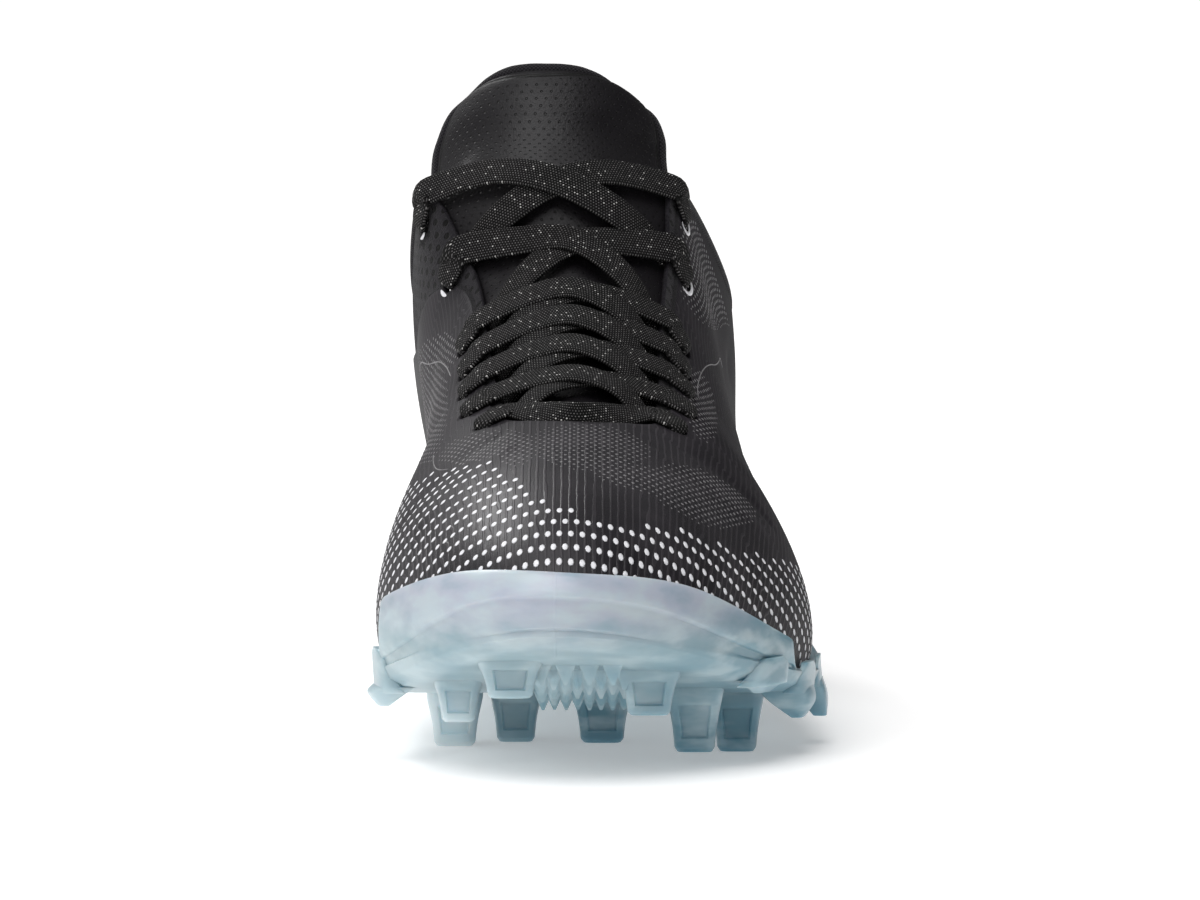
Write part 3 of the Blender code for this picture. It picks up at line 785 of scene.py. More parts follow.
def print_marks(name, material, sized_marks, width, height, lift):
    """Thin raised spots of ink, each a low closed lens on the skin."""
    marks, wide, tall = sized_marks
    half_width = wide * width / MM / 2.0
    half_height = tall * height / MM / 2.0
    normal = wall_normal(marks.spoke, marks.share)[:, None]
    rise = wall_rise(marks.spoke, marks.share)[:, None]
    center = wall_offset(marks.spoke, marks.share, -crease_depth(marks.point))[:, None]
    angle = np.arange(DOT_SIDES) / DOT_SIDES * 2.0 * math.pi
    ring = center - DOT_SINK * lift * normal
    ring = ring + (half_width[:, None] * np.cos(angle))[..., None] * np.cross(rise, normal)
    ring = ring + (half_height[:, None] * np.sin(angle))[..., None] * rise
    top = center + DOT_TOP * (ring - center) + lift * normal
    points = np.concatenate((ring, top), axis=1)
    spot = strap_faces(2, DOT_SIDES)
    starts = range(0, len(center) * 2 * DOT_SIDES, 2 * DOT_SIDES)
    faces = [np.add(start, face) for start in starts for face in spot]
    return make_piece(name, points, faces, [material])


def white_marks(prints):
    """Dots of the toe below the white edge, with their shares of full width and height."""
    marks = Marks(prints.row_pitch / MM, prints.dot_pitch / MM)
    marks.keep((marks.below_white_edge() > 0.0) & (np.abs(marks.spoke) < WHITE_FADE[1]))
    size = 1.0 - WHITE_SHRINK * smooth_step(*WHITE_FADE, np.abs(marks.spoke))
    flank = smooth_step(*DOT_FLANK, np.abs(marks.point[:, 0]))
    return marks, size * (1.0 + DOT_FLANK_WIDER * flank), size * (1.0 - DOT_FLANK_LOWER * flank)


def grey_marks(prints):
    """Marks of the clouds above the dots, with their shares of full width and height."""
    marks = Marks(prints.dash_row_pitch / MM, prints.dash_pitch / MM)
    depth = patch_share(marks)
    off_white = (marks.below_white_edge() < -GREY_CLEAR) | (np.abs(marks.spoke) > WHITE_FADE[1])
    inside = (depth > 0.0) & off_white
    marks.keep(inside)
    size = GREY_LEAST + (1.0 - GREY_LEAST) * smooth_step(*GREY_EDGE, depth[inside])
    low = 1.0 - smooth_step(*GREY_FADE_TOP, marks.point[:, 2])
    size = size * (1.0 - low * smooth_step(*GREY_FADE, marks.point[:, 1]))
    visible = size > GREY_VISIBLE
    marks.keep(visible)
    return marks, size[visible], size[visible]


HalfRing = namedtuple("HalfRing", "name spoke start turn")

# White half rings printed round the top eyelets, by their angles in degrees from the wall's run
HALF_RINGS = (
    HalfRing("lateral_top", 5.8, -200, 220),
    HalfRing("lateral_second", 5.2, -180, 180),
    HalfRing("medial_top", 12.2, -75, 60),
    HalfRing("medial_second", 12.8, -130, 60),
)
HALF_RING_RADIUS = 2.75
HALF_RING_WIDTH = 1.15
HALF_RING_TAPER = (0.04, 0.96)
HALF_RING_BLUNT = 0.6

# Thin grey printed lines, in pixels of the photograph
GREY_LINES = (
    (Pixel(418, 371), Pixel(426, 364), Pixel(437, 362), Pixel(446, 367), Pixel(451, 376)),
    (Pixel(434, 455), Pixel(433, 463), Pixel(436, 469), Pixel(441, 470), Pixel(447, 467)),
    (
        Pixel(733, 366), Pixel(728, 361), Pixel(719, 361), Pixel(709, 365), Pixel(702, 372),
        Pixel(698, 384), Pixel(698, 397),
    ),
)
GREY_LINE_WIDTH = 0.3
LINE_STEPS = 40
LINE_SIDES = 6
LINE_SQUARENESS = 0.6

# Grid of places on the wall that a drawn line is looked up in
LINE_SPOKES = np.linspace(-6.0, 6.0, 601)
LINE_SHARES = np.linspace(0.1, 0.98, 177)


def half_ring(ring):
    """Centers, normals and half widths of a strap of ink round the lower part of an eyelet."""
    spoke = np.array((ring.spoke,))
    share = share_below_edge(spoke, EYELET_INSET)
    normal = wall_normal(spoke, share)
    rise = wall_rise(spoke, share)
    angle = np.radians(np.linspace(ring.start, ring.start + ring.turn, LINE_STEPS))[:, None]
    away = np.cos(angle) * np.cross(rise, normal) + np.sin(angle) * rise
    centers = wall_point(spoke, share) + HALF_RING_RADIUS * away
    taper = np.sin(math.pi * np.linspace(*HALF_RING_TAPER, LINE_STEPS)) ** HALF_RING_BLUNT
    return centers, np.tile(normal, (LINE_STEPS, 1)), HALF_RING_WIDTH / 2.0 * taper


def wall_under(pixel, spokes, shares, points):
    """Spoke and share of the wall's place that shows at a pixel of the photograph."""
    x, y = photo_pixel(points)
    nearest = np.argmin(np.hypot(x - pixel.x, y - pixel.y))
    return spokes[nearest], shares[nearest]


def grey_line(pixels):
    """Centers, normals and half widths of a strap of ink along a drawn line."""
    spokes, shares = (grid.ravel() for grid in np.meshgrid(LINE_SPOKES % TURN, LINE_SHARES))
    front = wall_normal(spokes, shares)[:, 1] < 0.0
    spokes, shares = spokes[front], shares[front]
    points = wall_point(spokes, shares)
    places = np.array([wall_under(pixel, spokes, shares, points) for pixel in pixels])
    spoke, share = resample(places, np.linspace(0, len(places) - 1, LINE_STEPS)).T
    centers = wall_offset(spoke, share, -crease_depth(wall_point(spoke, share)))
    return centers, wall_normal(spoke, share), np.full(LINE_STEPS, GREY_LINE_WIDTH / 2.0)


def print_lines(name, material, lines, lift):
    """Flat straps of ink on the skin."""
    straps = [strap_points(*line, lift, LINE_SIDES, LINE_SQUARENESS) for line in lines]
    return strap_piece(name, material, straps)


# Knit binding over the topline, from spoke to spoke
BINDING_FROM = 5.9
BINDING_TO = 12.1
BINDING_STEPS = 240
BINDING_SIDES = 14
BINDING_DROP = 2.0
BINDING_SQUARENESS = 0.75


def build_binding(material, sizes):
    """Rolled knit edge round the foot opening."""
    spokes = np.linspace(BINDING_FROM, BINDING_TO, BINDING_STEPS)
    depth = (COLLAR_STEP + WALL) / 2.0
    edge = np.ones(BINDING_STEPS)
    center = wall_offset(spokes, edge, -depth * edge) - BINDING_DROP * wall_rise(spokes, edge)
    normal = wall_normal(spokes, edge)
    half_height = sizes.binding_height / MM / 2.0
    half_thickness = sizes.binding_thickness / MM / 2.0
    strap = strap_points(center, normal, half_height, half_thickness, BINDING_SIDES, BINDING_SQUARENESS)
    return strap_piece("collar_binding", material, [strap])


# Mesh of the tongue: its rows and columns, the width and thinness of its edge, and the binding from a row on
TONGUE_ROWS = 21
TONGUE_FINE_ROWS = 150
TONGUE_FINE_COLUMNS = 56
TONGUE_EDGE = 5.0
TONGUE_THIN = 0.4
TONGUE_BINDING_FROM = 20.2
TONGUE_BINDING_STEPS = 150
TONGUE_BINDING_SIDES = 12
TONGUE_BINDING_SQUARENESS = 0.8


def throat_edges(spoke):
    """The two throat edges at a spoke, lowered to the tongue's face."""
    depth = np.full(np.shape(spoke), -(WALL + TONGUE_CLEARANCE))
    one = np.ones(np.shape(spoke))
    return wall_offset(spoke, one, depth), wall_offset(TURN - spoke, one, depth)


def tongue_point(spoke, across):
    """Arched face of the tongue between the throat edges, 0 at the lateral edge."""
    spoke, across = np.broadcast_arrays(np.asarray(spoke, float), np.asarray(across, float))
    lateral, medial = throat_edges(spoke)
    ahead = np.sum(throat_edges(spoke + NUDGE), axis=0) - np.sum(throat_edges(spoke - NUDGE), axis=0)
    lift = unit(np.cross(ahead, medial - lateral))
    width = np.linalg.norm(medial - lateral, axis=-1)
    arch = TONGUE_ARCH * width * 4.0 * across * (1.0 - across)
    return lateral + across[..., None] * (medial - lateral) + arch[..., None] * lift


def tongue_normal(spoke, across):
    ahead = tongue_point(spoke + NUDGE, across) - tongue_point(spoke - NUDGE, across)
    side = tongue_point(spoke, across + NUDGE) - tongue_point(spoke, across - NUDGE)
    return unit(np.cross(ahead, side))


def tongue_top_row(shape, count):
    """One free row above the eyelets, wrapped round the ankle."""
    across = np.linspace(0.0, 1.0, count)
    side = np.abs(2.0 * across - 1.0)
    x = shape.right_x + (shape.left_x - shape.right_x) * across
    y = shape.y + shape.wrap * side**2
    z = shape.z - shape.drop * side**TONGUE_SHOULDER
    return np.stack((x, y, z), axis=-1)


def tongue_rows():
    """Coarse rows of the tongue's face, from the vamp to the crest, lateral side first."""
    spokes = np.linspace(TONGUE_FRONT_SPOKE, TONGUE_TOP_SPOKE, TONGUE_ROWS)
    depth = np.full(TONGUE_ROWS, -(WALL + TONGUE_CLEARANCE))
    other = TURN - spokes
    columns = [wall_offset(spokes, share_below_edge(spokes, tuck), depth) for tuck in TONGUE_TUCK]
    columns.extend(tongue_point(spokes, across) for across in (0.0, *TONGUE_ACROSS, 1.0))
    columns.extend(wall_offset(other, share_below_edge(other, tuck), depth) for tuck in TONGUE_TUCK[::-1])
    rows = np.stack(columns, axis=1)
    free = np.array([tongue_top_row(shape, rows.shape[1]) for shape in TONGUE_TOP])
    return np.concatenate((rows, free))


def surface_normals(points):
    """Normals of a grid of points."""
    return unit(np.cross(np.gradient(points, axis=0), np.gradient(points, axis=1)))


def build_tongue(material, sizes):
    """Padded tongue that thins out towards its edges."""
    rows = tongue_rows()
    face = resample(rows, np.linspace(0, len(rows) - 1, TONGUE_FINE_ROWS))
    columns = np.linspace(0, rows.shape[1] - 1, TONGUE_FINE_COLUMNS)
    face = resample(face.swapaxes(0, 1), columns).swapaxes(0, 1)
    normals = surface_normals(face)
    along = np.cumsum(np.linalg.norm(np.diff(face, axis=0, prepend=face[:1]), axis=2), axis=0)
    across = np.cumsum(np.linalg.norm(np.diff(face, axis=1, prepend=face[:, :1]), axis=2), axis=1)
    inset = np.minimum.reduce((across, across[:, -1:] - across, along, along[-1:] - along))
    fullness = TONGUE_THIN + (1.0 - TONGUE_THIN) * np.sqrt(smooth_step(0.0, TONGUE_EDGE, inset))
    half = sizes.tongue_thickness / MM / 2.0
    above = face - ((1.0 - fullness) * half)[..., None] * normals
    below = face - ((1.0 + fullness) * half)[..., None] * normals
    rise = np.broadcast_to(along.mean(axis=1, keepdims=True), along.shape)
    chart = np.stack((across - across[:, -1:] / 2.0, rise, inset), axis=-1)

    points, faces = sheet(above, below)
    piece = make_piece("tongue_pad", points, faces, [material], np.stack((chart, chart)))
    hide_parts("tongue")
    return piece


def build_tongue_binding(material, sizes):
    """Knit edge round the free end of the tongue."""
    rows = tongue_rows()
    normals = surface_normals(rows)
    last = len(rows) - 1
    places = np.concatenate(([TONGUE_BINDING_FROM], np.arange(math.ceil(TONGUE_BINDING_FROM), last)))
    keys, key_normals = (
        np.concatenate((resample(grid[:, 0], places), grid[last], resample(grid[:, -1], places[::-1])))
        for grid in (rows, normals)
    )
    steps = np.linspace(0, len(keys) - 1, TONGUE_BINDING_STEPS)
    normal = unit(resample(key_normals, steps))
    half_thickness = sizes.tongue_binding_thickness / MM / 2.0
    center = resample(keys, steps) - sizes.tongue_thickness / MM / 2.0 * normal
    half_width = sizes.tongue_binding_width / MM / 2.0
    shape = (TONGUE_BINDING_SIDES, TONGUE_BINDING_SQUARENESS)
    strap = strap_points(center, normal, half_width, half_thickness, *shape)
    return strap_piece("tongue_binding", material, [strap])


# Lacing: how the lace lies at the eyelets and where strands cross
LACE_STEPS = 72
LACE_SIDES = 16
LACE_SQUARENESS = 0.55
LACE_HEIGHT = 2.7
LACE_CROSSING = 1.5
LACE_ARCH = 0.25
LACE_ARCH_SHARES = np.array((0.6, 1.0, 0.6))
LACE_LIFT_SHARES = np.array((0.5, 1.0, 0.5))
LACE_TOP_SPOKE = 5.9
LACE_BAR_SPOKE = 0.65
LACE_BAR_LIFT = 1.4
LACE_BAR_BOW = 0.8

LaceKey = namedtuple("LaceKey", "to_edge height tilt width")

# Keys of a strand at its eyelet: share of the way from the eyelet to the throat's edge, height over the
# wall's outer face, tilt towards the eyelet, and share of the lace's full width
LACE_FROM_UNDER = (
    LaceKey(0.0, -3.3, 0.0, 0.62),
    LaceKey(0.5, -2.9, 0.0, 0.9),
    LaceKey(1.0, -2.9, 0.0, 1.0),
)
LACE_INTO_EYELET = (
    LaceKey(1.0, 0.85, 0.0, 1.0),
    LaceKey(0.6, 0.85, 0.0, 1.0),
    LaceKey(0.2, 0.85, 0.25, 0.95),
    LaceKey(0.0, 0.1, 1.0, 0.75),
    LaceKey(0.0, -3.3, 3.0, 0.62),
)


def lace_at_eyelet(spoke, keys):
    """Points, normals and widths of a strand between its eyelet and the throat's edge."""
    to_edge, height, tilt, width = np.array(keys).T
    eyelet = share_below_edge(spoke, EYELET_INSET)
    shares = eyelet + (1.0 - eyelet) * to_edge
    normal = unit(wall_normal(spoke, shares) - tilt[:, None] * wall_rise(spoke, shares))
    return wall_offset(spoke, shares, height), normal, width


def lace_over_tongue(start, end, from_lateral, lift):
    """Points, normals and widths of a strand on its arch over the tongue."""
    steps = np.array(TONGUE_ACROSS)
    arch = min(LACE_ARCH, LACE_TOP_SPOKE - end)
    spokes = start + (end - start) * steps + arch * LACE_ARCH_SHARES
    across = steps if from_lateral else 1.0 - steps
    height = LACE_HEIGHT + lift * LACE_LIFT_SHARES
    normal = tongue_normal(spokes, across)
    return tongue_point(spokes, across) + height[:, None] * normal, normal, np.ones(len(steps))


def lace_bow(leave, arrive, middle, lift):
    """Points, normals and widths of the lowest bar, bowed over the tongue between the throat edges."""
    upright = tongue_normal(middle, 0.5)
    crown = tongue_point(middle, 0.5) + (LACE_HEIGHT + lift) * upright
    edges = np.stack((leave[0][-1], arrive[0][0]))
    sides = 0.5 * (edges + crown) + LACE_BAR_BOW * upright
    points = np.stack((sides[0], crown, sides[1]))
    normals = unit(np.stack((leave[1][-1] + upright, upright, arrive[1][0] + upright)))
    return points, normals, np.ones(len(points))


def lace_strand(start, end, from_lateral, lift, middle=None):
    """Rings and chart of one strand from eyelet to eyelet; the lowest bar names the spoke of its middle."""
    first = start if from_lateral else TURN - start
    last = TURN - end if from_lateral else end
    leave = lace_at_eyelet(first, LACE_INTO_EYELET[::-1] if middle else LACE_FROM_UNDER)
    arrive = lace_at_eyelet(last, LACE_INTO_EYELET)
    if middle:
        over = lace_bow(leave, arrive, middle, lift)
    else:
        over = lace_over_tongue(start, end, from_lateral, lift)
    keys, normals, widths = (np.concatenate(values) for values in zip(leave, over, arrive))
    places = np.linspace(0, len(keys) - 1, LACE_STEPS)
    sizes = bpy.context.scene.shoe_lacing
    width = resample(widths, places)
    half_width = width * sizes.lace_width / MM / 2.0
    half_thickness = sizes.lace_thickness / MM / 2.0 * (2.0 - width)
    normals = unit(resample(normals, places))
    shape = (LACE_SIDES, LACE_SQUARENESS)
    return strap_points(resample(keys, places), normals, half_width, half_thickness, *shape)


def build_lace(material):
    """Lowest bar and the crossings above it, run through the eyelets."""
    low = EYELET_SPOKES[0]
    straps = [lace_strand(low, low, True, LACE_BAR_LIFT, LACE_BAR_SPOKE)]
    for start, end in zip(EYELET_SPOKES, EYELET_SPOKES[1:]):
        straps.append(lace_strand(start, end, False, 0.0))
        straps.append(lace_strand(start, end, True, LACE_CROSSING))
    piece = strap_piece("woven_lace", material, straps)
    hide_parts("lace")
    return piece


Station = namedtuple("Station", "y z")

# Underside of the plate along the foot, from toe spring over ball and arch to the heel
UNDERSIDE = (
    Station(-146, 33.0), Station(-125, 26.4), Station(-105, 20.2), Station(-85, 15.4),
    Station(-60, 12.8), Station(-30, 12.6), Station(0, 14.2), Station(30, 16.0),
    Station(60, 15.2), Station(90, 14.2), Station(120, 14.2), Station(146, 15.5),
)

Stud = namedtuple("Stud", "name x y tip_z width depth flare")

STUDS = (
    Stud("toe_medial", -20, -122, 18.6, 10.2, 8.0, 1.6),
    Stud("toe_lateral", 11, -112, 13.6, 9.8, 8.0, 1.6),
    Stud("side_medial", -32, -98, 10.6, 7.6, 11.0, 1.6),
    Stud("side_lateral", 21.5, -88, 2.5, 9.4, 10.0, 1.5),
    Stud("ball_medial", -33.5, -56, 0.0, 9.8, 11.0, 1.4),
    Stud("ball_inner", -19.5, -48, 0.0, 9.0, 10.0, 1.3),
    Stud("ball_middle", 0.5, -50, 0.0, 10.2, 10.0, 1.4),
    Stud("ball_lateral", 31.4, -66, 0.0, 9.2, 11.0, 1.5),
    Stud("heel_front_medial", -24, 76, 0.0, 10.0, 13.0, 1.4),
    Stud("heel_front_lateral", 16, 76, 0.0, 10.0, 13.0, 1.4),
    Stud("heel_back_medial", -22, 117, 0.0, 10.0, 13.0, 1.4),
    Stud("heel_back_lateral", 12, 117, 0.0, 10.0, 13.0, 1.4),
)
STUD_SINK = 1.2
STUD_SIDES = 56
STUD_SQUARENESS = 0.45
STUD_ROWS = 34
STUD_ROW_CROWDING = 1.15

# Width of a stud from tip to root: share of its height, and share of its width. A key past the root,
# wider than the flare by a step, sets how steeply the flare runs into the plate
STUD_PROFILE = ((0.0, 0.86), (0.06, 0.98), (0.2, 1.02), (0.45, 1.12), (0.75, 1.3))
STUD_PAST_ROOT = 1.12
STUD_PAST_FLARE = 0.5

# Window in a stud's front, by shares of the stud's depth, width and height
WINDOW_DEPTH = 0.7
WINDOW_FRONT = 0.4
WINDOW_HALF_WIDTH = 0.3
WINDOW_LOW = (0.2, 0.23)
WINDOW_HIGH = (0.7, 0.67)

Fin = namedtuple(
    "Fin", "name y length web_z web_out top_z top_in top_out knee_z knee_in knee_out tip_z tip_in tip_out"
)

# Blades that hang from the sides of the plate, drawn by their inner and outer X at three heights,
# with a thin web that carries each blade up the rim
FINS = (
    Fin("medial", -89, 13, 25.0, -51.3, 17.6, -42, -50.9, 15.8, -44.5, -52.6, 12.9, -48, -50.6),
    Fin("lateral_front", -99, 13, 24.0, 40.4, 20.2, 33, 40.2, 18.8, 34.5, 39.5, 17.0, 35.5, 37.5),
    Fin("lateral_middle", -77, 13, 20.5, 48.4, 16.2, 36, 48.2, 12.4, 39.5, 48.8, 8.8, 44, 46.6),
    Fin("lateral_back", -56, 14, 19.8, 50.9, 15.4, 42, 51.4, 11.5, 45.5, 52.6, 6.8, 49.2, 52.4),
)
FIN_WEB_GAP = 2.4
FIN_WEB_ROOT = 1.4
FIN_WEB_ROUND = 1.0
FIN_WEB_TOP = 0.5
FIN_WEB_SHOULDER = 0.9
FIN_KNEE = 0.75
FIN_TIP = 0.35
FIN_ROWS = 18
FIN_SIDES = 32
FIN_SQUARENESS = 0.55

# Sawtooth field under the ball
TOOTH_COLUMNS = 4
TOOTH_ROWS = 9
TOOTH_PITCH = 5.3
TOOTH_WIDTH = 5.2
TOOTH_HEIGHT = 4.0
TOOTH_SINK = 1.5
TOOTH_TIP_WIDTH = 0.6
TOOTH_START_X = -13.0
TOOTH_START_Y = -121.0
TOOTH_CORNERS = np.array(((-0.5, -0.5, 0.0), (0.5, -0.5, 0.0), (0.5, 0.5, 0.0), (-0.5, 0.5, 0.0)))

# Plate: how far its rings reach from the feather line and how high they lie
PLATE_SPOKES = 432
PLATE_ACROSS = 26
PLATE_SHARP = math.radians(38.0)
BOTTOM_INSET = 4.0
BOTTOM_ROUND = 2.0
UNDER_INSET = 0.5
UNDER_LIFT = 0.25
SIDE_REACH = 2.6
SIDE_SOFT = 0.5
SIDE_STEPS = (0.35, 0.7, 0.93)
RIDGE_REACH = 3.6
RIDGE_RISE = 0.8
RIDGE_LIP = 0.35
RIDGE_CHAMFER = 1.5
TOE_SOFT = 1.4
TOE_FROM = 0.3
STEP_HALF_WIDTH = 0.05
MOULD_SEAM_X = -9.9

# Rim over the ridge: a thinner lower wall, and a band above it that begins high at the toe
RIM_THICKNESS = 1.6
GUARD_THICKNESS = 2.4
BAND_HIGH = 0.5
BAND_LOW = 0.12
BAND_STEP = 0.5
WALL_STEPS = (0.0, 0.35, 0.7, 0.94)

RimRow = namedtuple("RimRow", "step thickness")

# Rows of the band, and of the rim's round and inside: share of the way up, and share of the thickness
BAND_ROWS = (
    RimRow(0.03, 1.0), RimRow(0.08, 1.04), RimRow(0.25, 1.0), RimRow(0.5, 0.92), RimRow(0.75, 0.82),
    RimRow(0.92, 0.74),
)
RIM_ROWS = (
    RimRow(0.985, 0.95), RimRow(1.0, 0.6), RimRow(1.0, 0.0), RimRow(0.75, 0.0), RimRow(0.5, 0.0),
    RimRow(0.25, 0.0),
)


def underside_height(y):
    """Height of the plate's underside at a place along the foot."""
    stations = np.array(UNDERSIDE, dtype=float)
    place = np.interp(y, stations[:, 0], np.arange(len(stations)))
    return resample(stations[:, 1], np.ravel(place)).reshape(np.shape(place))


def guard_share(spoke):
    """Share of the wall under the rim, with the toe guard's steps as short slopes."""
    step = (STEP_SECTION - STEP_HALF_WIDTH, STEP_SECTION + STEP_HALF_WIDTH)
    guard, rim = (share_at_height(spoke, section_value(spoke, name)) for name in ("guard", "rim"))
    return guard + (rim - guard) * smooth_step(*step, np.abs(from_toe(spoke)))


def toe_share(spokes):
    """One at the middle of the toe, none beyond the guard's steps."""
    return 1.0 - smooth_step(TOE_FROM, STEP_SECTION, np.abs(from_toe(spokes)))


def band_share(spokes):
    """Where the band begins between ridge and rim: high at the toe, low beyond the guard's steps."""
    return BAND_LOW + (BAND_HIGH - BAND_LOW) * toe_share(spokes)


def plate_rings(spokes):
    """Closed rings of the plate, from the underside over the rim to the inner floor."""
    foot = wall_point(spokes, 0.0)
    out = feather_outward(spokes)
    soft = toe_share(spokes)[:, None]
    rim = guard_share(spokes)

    def shell(share, thickness):
        return wall_offset(spokes, share, np.full(len(spokes), thickness + GAP))

    reaches = (-BOTTOM_INSET, -UNDER_INSET, SIDE_REACH - SIDE_SOFT * soft)
    rings = []
    for reach, lift in zip(reaches, (0.0, UNDER_LIFT, BOTTOM_ROUND)):
        ring = foot + reach * out
        ring[:, 2] = underside_height(ring[:, 1]) + lift
        rings.append(ring)
    side = rings[-1]
    ridge = foot + (RIDGE_REACH - TOE_SOFT * soft) * out + RIDGE_RISE * UP
    rings.extend(side + (ridge - side) * step for step in SIDE_STEPS)
    rings.append(ridge + RIDGE_LIP * UP)
    start = share_at_height(spokes, ridge[:, 2] + RIDGE_CHAMFER)
    band = start + (rim - start) * band_share(spokes)
    rings.extend(shell(start + (band - start) * step, GUARD_THICKNESS - BAND_STEP) for step in WALL_STEPS)
    rings.extend(shell(band + (rim - band) * step, GUARD_THICKNESS * size) for step, size in BAND_ROWS)
    rings.extend(shell(rim * step, RIM_THICKNESS * size) for step, size in RIM_ROWS)
    rings.append(shell(np.zeros(len(spokes)), 0.0) - GAP * UP)
    return rings


def cap_rows(ring, height_at=None):
    """Rows of points that close a ring round the foot, from the lateral to the medial side."""
    count = len(ring)
    half = count // 2
    lateral = ring[1:half]
    medial = ring[count - 1:half:-1]
    share = np.linspace(0.0, 1.0, PLATE_ACROSS)[None, 1:-1, None]
    rows = lateral[:, None] + (medial - lateral)[:, None] * share
    if height_at:
        rows[..., 2] = height_at(rows[..., 1])
    return rows


def cap_faces(ring_start, inner_start, count):
    """Faces between a ring and the rows that close it."""
    half = count // 2
    inner = PLATE_ACROSS - 2
    rows = []
    for index in range(half - 1):
        middle = range(inner_start + index * inner, inner_start + (index + 1) * inner)
        rows.append([ring_start + 1 + index, *middle, ring_start + count - 1 - index])
    faces = []
    for front, back in zip(rows, rows[1:]):
        faces.extend(zip(front, front[1:], back[1:], back))
    for tip, row in ((ring_start, rows[0]), (ring_start + half, rows[-1])):
        faces.extend((tip, first, second) for first, second in zip(row, row[1:]))
    return faces


def rounded_rectangle(sides, width, length, squareness):
    """Outline of a block with round corners."""
    x, y = rounded_outline(sides, squareness)
    return np.stack((width / 2.0 * x, length / 2.0 * y), axis=-1)


def add_loft(bm, rings):
    """Closed body through rings of points in millimetres."""
    rows = [[bm.verts.new(point) for point in ring * MM] for ring in rings]
    for lower, upper in zip(rows, rows[1:]):
        for corners in zip(lower, lower[1:] + lower[:1], upper[1:] + upper[:1], upper):
            bm.faces.new(corners)
    bm.faces.new(rows[0])
    bm.faces.new(rows[-1])


def stud_rings(stud):
    """Tapered block with a concave flare into the underside and a sunk window in its front."""
    past_root = (STUD_PAST_ROOT, stud.flare + STUD_PAST_FLARE)
    keys = np.array((*STUD_PROFILE, (1.0, stud.flare), past_root))
    outline = rounded_rectangle(STUD_SIDES, stud.width, stud.depth, STUD_SQUARENESS)
    front = -outline[:, 1] > WINDOW_FRONT * stud.depth
    front &= np.abs(outline[:, 0]) < WINDOW_HALF_WIDTH * stud.width
    rings = []
    for share in np.linspace(0.0, 1.0, STUD_ROWS) ** STUD_ROW_CROWDING:
        place = np.interp(share, keys[:, 0], np.arange(len(keys)))
        scale = resample(keys[:, 1], [place])[0]
        x, y = (outline * scale + (stud.x, stud.y)).T
        z = stud.tip_z + (underside_height(y) + STUD_SINK - stud.tip_z) * share
        y[front] += WINDOW_DEPTH * smooth_step(*WINDOW_LOW, share) * smooth_step(*WINDOW_HIGH, share)
        rings.append(np.column_stack((x, y, z)))
    return rings


def fin_rings(fin):
    """Blade lofted from the plate over its knee to its tip."""
    return block_rings(fin, (
        (fin.top_in, fin.top_out, fin.length, fin.top_z),
        (fin.knee_in, fin.knee_out, fin.length * FIN_KNEE, fin.knee_z),
        (fin.tip_in, fin.tip_out, fin.length * FIN_TIP, fin.tip_z),
    ))


def web_rings(fin):
    """Web that carries a blade up the rim, close to the wall of the upper."""
    side = math.copysign(1.0, fin.top_out)
    edge = foot_edge(fin.y, side)
    inner = edge + side * FIN_WEB_GAP
    return block_rings(fin, (
        (inner, fin.web_out, fin.length * FIN_WEB_TOP, fin.web_z + FIN_WEB_ROUND),
        (inner, fin.web_out, fin.length * FIN_WEB_SHOULDER, fin.web_z - FIN_WEB_ROUND),
        (edge - side * FIN_WEB_ROOT, fin.top_out, fin.length, fin.top_z - FIN_WEB_ROOT),
    ))


def foot_edge(y, side):
    """X of the foot's outline along the foot, on the lateral (1) or the medial (-1) side."""
    spokes = np.linspace(0.0, TURN / 2.0, PLATE_SPOKES)
    outline = wall_point(spokes if side > 0.0 else TURN - spokes, 0.0)
    return np.interp(y, outline[:, 1], outline[:, 0])


def block_rings(fin, keys):
    """Level outlines through keys of inner X, outer X, length and height, bent along the foot's edge."""
    side = math.copysign(1.0, fin.top_out)
    rings = []
    for x_in, x_out, length, z in resample(keys, np.linspace(0.0, len(keys) - 1, FIN_ROWS)):
        outline = rounded_rectangle(FIN_SIDES, abs(x_out - x_in), length, FIN_SQUARENESS)
        y = fin.y + outline[:, 1]
        x = (x_in + x_out) / 2.0 + outline[:, 0] + foot_edge(y, side) - foot_edge(fin.y, side)
        rings.append(np.column_stack((x, y, np.full(FIN_SIDES, z))))
    return rings


def tooth_rings(row, column):
    """One pointed tooth of the field under the ball."""
    x = TOOTH_START_X + (column + (row % 2) / 2.0) * TOOTH_PITCH
    y = TOOTH_START_Y + row * TOOTH_PITCH
    surface = underside_height(y)
    levels = ((TOOTH_WIDTH, surface + TOOTH_SINK), (TOOTH_TIP_WIDTH, surface - TOOTH_HEIGHT))
    return [TOOTH_CORNERS * width + (x, y, z) for width, z in levels]


